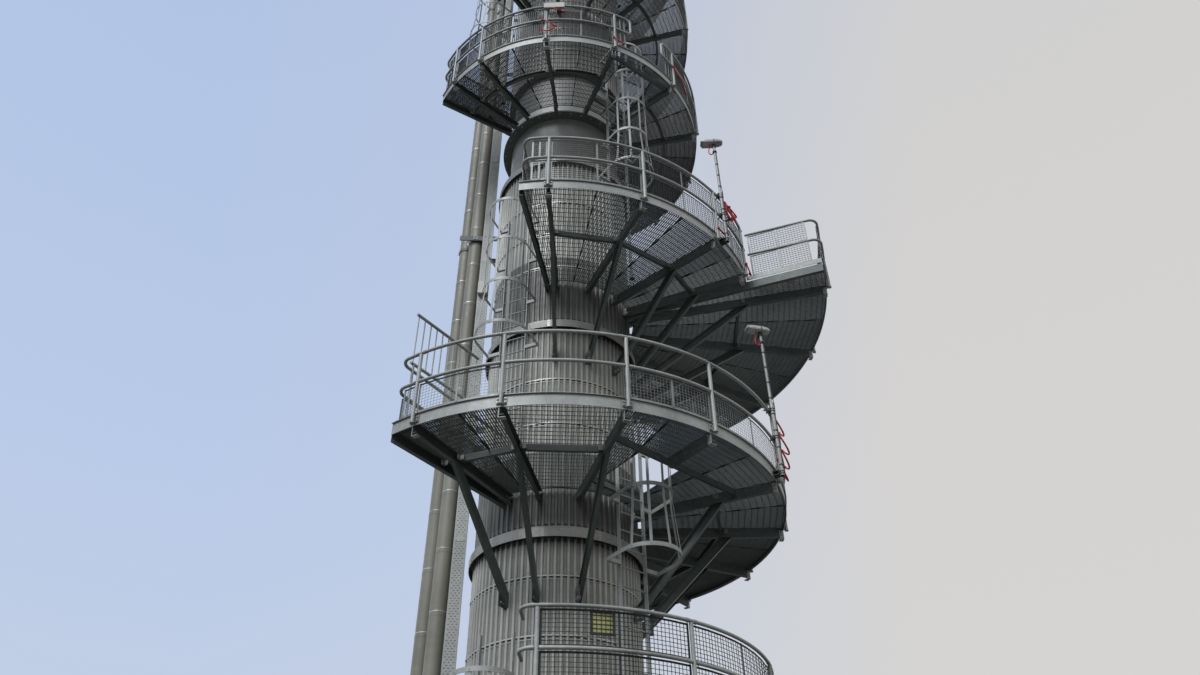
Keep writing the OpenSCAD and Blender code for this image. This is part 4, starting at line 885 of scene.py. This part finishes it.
# the slots are dark strips of painted shade on the tray's face
for k, z in enumerate(steps(TRAY_Z0 + 0.06, TRAY_Z1 - 0.04, 0.04)):
    for dx in ((-0.06, 0.0, 0.06) if k % 2 else (-0.03, 0.03)):
        slots.bar(on_tray(dx - 0.013, -SEAT, z), on_tray(dx + 0.013, -SEAT, z), 0.0008, 0.009)
TRAY_CABLES = ((-0.07, 0.011), (-0.043, 0.008), (-0.02, 0.012), (0.01, 0.009), (0.04, 0.013), (0.07, 0.008))
for i, (dx, r) in enumerate(TRAY_CABLES):
    wave = [dx + 0.003 * math.sin(1.7 * k + i) for k in range(57)]
    cables.tube([on_tray(x, 0.006 + r, TRAY_Z0 + 0.03 + 0.4 * k) for k, x in enumerate(wave)], r)
for z in steps(TRAY_Z0 + 0.3, TRAY_Z1 - 0.1, 0.9):
    tray_bits.bar(on_tray(-0.096, 0.034, z), on_tray(0.096, 0.034, z), 0.004, 0.03)
    for s in SIDES:
        tray_bits.bar(on_tray(s * 0.094, 0.005, z), on_tray(s * 0.094, 0.034, z), 0.004, 0.03)
        tray_bolts.bolt(on_tray(s * 0.1, 0.03, z), (s, 0, 0), 0.006, 0.008)
for z in steps(TRAY_Z0 + 2.4, TRAY_Z1 - 0.3, 3.0):
    tray_bits.bar(on_tray(0, -0.002, z - 0.06), on_tray(0, -0.002, z + 0.06), 0.17, 0.003, up=(0, 1, 0))
    for dx in (-0.06, 0.06):
        for dz in (-0.04, 0.04):
            tray_bolts.bolt(on_tray(dx, -0.004, z + dz), TRAY_FRONT, 0.007, 0.008)
for z in [z for z in SUPPORTS if z < TRAY_Z1]:
    for dx in (-0.05, 0.05):
        tray_bolts.bolt(on_tray(dx, -SEAT, z + 0.06), TRAY_FRONT, 0.010, 0.013)
slots.make("tray_slots", "gap_shade", "galvanised")
cables.make("tray_cables", "black_cable", "galvanised", smooth=True)
tray_bits.make("tray_clips", "galvanised", "galvanised")
tray_bolts.make("tray_bolts", "bolt_zinc", "galvanised")


# Lamps on poles
def u_bolt(m, c, out, side, r, reach, wire):
    """A bent rod round a pole at c, with its nuts on the side away from out."""
    pts = [c - out * reach + side * r]
    for k in range(9):
        g = math.radians(-90 + 22.5 * k)
        pts.append(c + out * (r * math.cos(g)) - side * (r * math.sin(g)))
    m.tube(pts + [c - out * reach - side * r], wire)
    for s in SIDES:
        m.bolt(c - out * (reach - 0.012) + side * (s * r), -out, wire * 1.7, wire * 2)


LAMPS = (("platform_2", -29.5, 2.7, 12), ("platform_3", -41.5, 2.55, -4))  # angle, height, the head's way
HEAD = (  # the housing's outline: place along it, half width, lower and upper edge
    (-0.247, 0.055, 0.026, 0.052), (-0.238, 0.075, 0.014, 0.066), (-0.16, 0.086, 0.008, 0.076),
    (0.02, 0.088, 0.006, 0.080), (0.10, 0.080, 0.010, 0.078), (0.155, 0.058, 0.020, 0.066),
    (0.168, 0.040, 0.028, 0.056),
)
HEAD_EDGE = 0.012
LENS = ((-0.125, -0.072), (0.125, -0.072), (0.125, 0.072), (-0.125, 0.072))
LEAD_BOW = (  # the red lead under the head: place along the head, and how far down
    (-0.070, 0.0), (-0.075, 0.05), (-0.088, 0.11), (-0.104, 0.165), (-0.110, 0.215), (-0.100, 0.260),
    (-0.078, 0.288), (-0.054, 0.290), (-0.038, 0.265), (-0.032, 0.225),
)
poles, heads, lenses, brackets, reds, leads = meshes(6)
for name, a, h, turned in LAMPS:
    p = PLATFORMS[name]
    d, t, dh, th = radial(a), tangent(a), radial(turned), tangent(turned)
    base = cyl(p["r"] + 0.124, a, p["z"] + 0.02)
    knee = 0.46 * h
    head_z = base.z + h + 0.006

    def on(z, out=0.0):
        """A place z up the pole, or so far out from it."""
        return base + UP * z + d * out

    def at(x, z, y=0.0):
        """A place along the head, x out from the pole, z over its underside and y to its side."""
        return Vector((base.x, base.y, head_z + z)) + dh * x + th * y

    for z0, z1, r, n in ((0, knee, 0.030, 24), (knee - 0.06, knee + 0.05, 0.037, 24),
                         (knee, h - 0.005, 0.0225, 20), (0, 0.012, 0.036, 24)):
        poles.tube([on(z0), on(z1)], r, n)
    for dz in (-0.03, 0.02):
        for g in (0, 120, 240):
            n = d * math.cos(math.radians(g)) + t * math.sin(math.radians(g))
            brackets.bolt(on(knee + dz) + n * 0.036, n, 0.008, 0.012)
    # clamp plates and bent rods at the rim and at both rails
    for z in (0.02, 0.08):
        brackets.bar(on(z, -0.118), on(z, -0.028), 0.1, 0.012)
    brackets.bar(on(0.014, -0.118), on(0.086, -0.118), 0.11, 0.010, up=d)
    brackets.bar(on(0.010, -0.034), on(0.092, -0.034), 0.11, 0.008, up=d)
    for z in (0.032, 0.07):
        u_bolt(brackets, on(z), d, t, 0.035, 0.05, 0.005)
    for z in (RAIL_MID - 0.02, RAIL_TOP - 0.02):
        brackets.bar(on(z, -0.052), on(z, -0.028), 0.1, 0.06)
        for dz in (-0.02, 0.02):
            u_bolt(brackets, on(z + dz), d, t, 0.035, 0.05, 0.005)
        u_bolt(brackets, on(z, -0.07 + SEAT), -d, UP, 0.029, -0.02, 0.005)
    # the head: a flat housing with rounded edges, fins on its back, a lens in a screwed frame below
    sections = []
    for x, w, low, high in HEAD:
        k = HEAD_EDGE
        outline = ((-w + k, low), (w - k, low), (w, low + k), (w, high - k), (w - k * 1.6, high),
                   (-w + k * 1.6, high), (-w, high - k), (-w, low + k))
        sections.append([at(x, z, y) for y, z in outline])
    heads.loft(sections)
    for i in range(7):
        y = -0.054 + 0.018 * i
        heads.bar(at(-0.14, 0.079, y), at(0.06, 0.081, y), 0.004, 0.012)
    lens = ((0.010, 1), (0.003, 1), (0.0005, 0.94))
    lenses.loft([[at(-0.085 + x * k, z, y * k) for x, y in LENS] for z, k in lens])
    for x in (-0.216, 0.046):
        heads.bar(at(x, 0.004, -0.078), at(x, 0.004, 0.078), 0.010, 0.009)
    for y in (-0.078, 0.078):
        heads.bar(at(-0.216, 0.004, y), at(0.046, 0.004, y), 0.010, 0.009)
        for x in (-0.19, -0.085, 0.02):
            brackets.bolt(at(x, 0.0002, y), -UP, 0.005, 0.004, washer=False)
    # the dark bow that carries the head on the pole
    for s in SIDES:
        side = th * s
        top = on(h + 0.052) + side * 0.0895
        foot = on(h - 0.045) + side * 0.034
        brackets.tube([foot, on(h - 0.05) + side * 0.08, on(h - 0.005) + side * 0.0895, top], 0.008)
        brackets.bolt(top, side, 0.011, 0.0, washer=False)
    brackets.tube([on(h - 0.075), on(h - 0.012)], 0.034, 20)
    # supply: a red bow from under the head to the pole, and a black lead down the pole under clips
    reds.tube([at(x, 0.008 - drop) for x, drop in LEAD_BOW], 0.010)
    brackets.tube([at(0, -0.235), at(0, -0.205)], 0.040, 16)
    pts = [on(h - 0.22, 0.029)]
    pts += [on(h - 0.36 - 0.12 * k, 0.029) for k in range(1, int((h - 0.36 - knee - 0.12) / 0.12))]
    pts += [on(knee + 0.06, 0.044), on(knee - 0.08, 0.044)]
    leads.tube(pts + [on(z, 0.036) for z in (knee - 0.2, 0.8, 0.4, 0.12)], 0.0055)
    for k in range(int(h / 0.3) - 1):
        z = 0.18 + 0.3 * k
        brackets.tube([on(z - 0.006, 0.006), on(z + 0.006, 0.006)], 0.037 if z < knee else 0.0295, 16)


# Red leads on the guards
def bow(name, a1, a2, z1, z2, drop, bulge, r=0.014):
    """A lead between two clips on a guard, pressed out between them."""
    p = PLATFORMS[name]
    pts = []
    for i in range(17):
        f = i / 16
        k = 4 * f * (1 - f)
        z = p["z"] + z1 + (z2 - z1) * f - drop * k
        pts.append(cyl(rail_r(p) + 0.034 + bulge * k, a1 + (a2 - a1) * f, z))
    reds.tube(pts, r)
    for q in (pts[0], pts[-1]):
        reds.tube([q - UP * 0.014, q + UP * 0.014], r * 1.6)
        reds.bar(q, q + Vector((-q.x, -q.y, 0)).normalized() * 0.02, 0.014, 0.014)


def bundle(name, a, z, wide, high, turns, r=0.010):
    """Turns of lead tied flat against the outside of a guard."""
    p, d, t = PLATFORMS[name], radial(a), tangent(a)
    path = []
    for i in range(turns * 20 + 1):
        n = i / 20
        g, grow = 2 * math.pi * n, 1 + 0.09 * math.sin(1.7 * n)
        q = cyl(rail_r(p) + 0.045 + 2 * r * n, a, p["z"] + z + high * grow * math.cos(g))
        path.append(q + t * (wide * grow * math.sin(g)))
    reds.tube(path, r)
    for dz in (-high, high):
        c = cyl(rail_r(p) + 0.045 + turns * r, a, p["z"] + z + dz)
        brackets.bar(c - d * (turns * r + 0.045), c + d * (turns * r + 0.02), 0.012, 2 * r + 0.02)


bundle("platform_3", -37.6, 0.93, 0.13, 0.15, 2)
for row in (  # platform, both clips' angles and heights, how far the bow hangs and stands out
    ("platform_4", -98.4, -91.5, 1.17, 0.92, 0.06, 0.03),
    ("platform_4", -99.4, -95.0, 0.66, 0.42, 0.02, 0.03),
    ("platform_4", -99.6, -94.2, 0.32, 0.40, 0.16, 0.03),
    ("platform_4", -71.6, -67.5, 0.30, 0.20, 0.08, 0.03),
    ("platform_4", -41.4, -33.0, 0.62, 0.20, 0.05, 0.03),
    ("platform_3", -38.9, -32.6, 1.16, 1.10, 0.30, 0.07),
    ("platform_3", -38.2, -33.4, 1.17, 1.12, 0.22, 0.10),
    ("platform_3", -44.2, -39.6, 0.24, 0.30, 0.10, 0.03),
    ("platform_3", -27.5, -24.6, 0.24, 0.16, 0.14, 0.03),
    ("platform_2", -27.8, -21.8, 1.17, 1.06, 0.20, 0.09),
    ("platform_2", -27.6, -20.6, 0.92, 0.78, 0.24, 0.12),
    ("platform_2", -27.5, -21.4, 0.67, 0.46, 0.20, 0.09),
    ("platform_2", -29.6, -23.4, 0.30, 0.22, 0.20, 0.06),
):
    bow(*row)

# Junction boxes, and a plate in a frame
boxes, box_bits, plate, plate_edge = meshes(4)


def case(c, d, t, w, h, depth, glands):
    """A flanged case with a raised lid, corner screws and cable glands below."""
    sections = []
    lid = ((0.72, 0.003), (0.74, -0.005), (0.9, -0.005), (0.98, 0.001), (1, 0.006))
    for x, k in [(0, 0.0), (0.004, 0.0)] + [(depth * share, k) for share, k in lid]:
        y, z, q = w / 2 - k, h / 2 - k, 0.010
        outline = ((q - y, -z), (y - q, -z), (y, q - z), (y, z - q),
                   (y - q, z), (q - y, z), (-y, z - q), (-y, q - z))
        sections.append([c + d * x + t * y_ + UP * z_ for y_, z_ in outline])
    boxes.loft(sections)
    for sy in SIDES:
        for sz in SIDES:
            q = t * (sy * (w / 2 - 0.018)) + UP * (sz * (h / 2 - 0.018))
            box_bits.bolt(c + d * (depth - 0.001) + q, d, 0.005, 0.004, washer=False)
    for i in range(glands):
        g = c + d * (depth * 0.45) + t * ((i + 0.5) / glands * w - w / 2) - UP * (h / 2)
        box_bits.tube([g, g - UP * 0.02], 0.010, 6)
        box_bits.tube([g - UP * 0.018, g - UP * 0.03], 0.007, 10)


p, a = PLATFORMS["platform_4"], -95.0
d, t = radial(a), tangent(a)
c = cyl(rail_r(p) + 0.028, a, p["z"] + 1.11)
case(c, d, t, 0.42, 0.17, 0.05, 4)
for y in (-0.13, 0.13):
    q = c + t * y - d * 0.002
    box_bits.bar(q + UP * 0.08, q - UP * 0.09, 0.03, 0.004, up=d)
    u_bolt(box_bits, cyl(rail_r(p), a, p["z"] + RAIL_TOP) + t * y, -d, UP, 0.028, -0.02, 0.004)
for z, w, h in ((13.2, 0.18, 0.30), (9.35, 0.16, 0.22), (21.9, 0.18, 0.30)):
    c = on_tray(0, -0.0035, z)
    box_bits.bar(c - UP * (h / 2 + 0.03), c + UP * (h / 2 + 0.03), w * 0.6, 0.005, up=(0, 1, 0))
    case(c - Vector((0, 0.003, 0)), Vector(TRAY_FRONT), Vector((1, 0, 0)), w, h, 0.09, 3)
# a plain plate in a dark frame behind the guard of platform 1
p = PLATFORMS["platform_1"]
z0, z1, a1, a2 = p["z"] + 0.87, p["z"] + 1.13, -82.2, -77.2
r, mid_z = p["r"] + 0.012, (z0 + z1) / 2
for i, (b1, b2) in enumerate(split(a1, a2, 6)):
    plate.bar(cyl(r, b1, mid_z), cyl(r, b2, mid_z), 0.003, z1 - z0, ends=i in (0, 5))
for z in (z0, z1):
    plate_edge.hoop(r, z, 0.014, 0.03, a1 - 0.4, a2 + 0.4, 0.05)
for a in (a1, a2):
    plate_edge.bar(cyl(r, a, z0 - 0.012), cyl(r, a, z1 + 0.012), 0.03, 0.014, up=radial(a))
for a in (a1 + 0.5, a2 - 0.5):
    for z in (z0 + 0.02, z1 - 0.02):
        box_bits.bolt(cyl(r + 0.0015, a, z), radial(a), 0.006, 0.006)
    plate_edge.bar(cyl(r, a, z1), cyl(r, a, z1 + 0.035), 0.012, 0.004, up=radial(a))

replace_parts(poles.make("lamp_poles", "galvanised", "lamp_grey"), "lamp_posts")
heads.make("lamp_heads", "lamp_grey", "lamp_grey")
lenses.make("lamp_lenses", "lamp_lens", "lamp_grey")
brackets.make("lamp_brackets", "mesh_black", "galvanised")
reds.make("red_leads", "red_cable", "lamp_grey", smooth=True)
leads.make("black_leads", "black_cable", "lamp_grey", smooth=True)
boxes.make("junction_boxes", "box_grey", "lamp_grey")
box_bits.make("box_fittings", "bolt_zinc", "galvanised")
plate.make("guard_plate", "yellow_paint", "lamp_grey")
plate_edge.make("guard_plate_frame", "mesh_black", "galvanised")
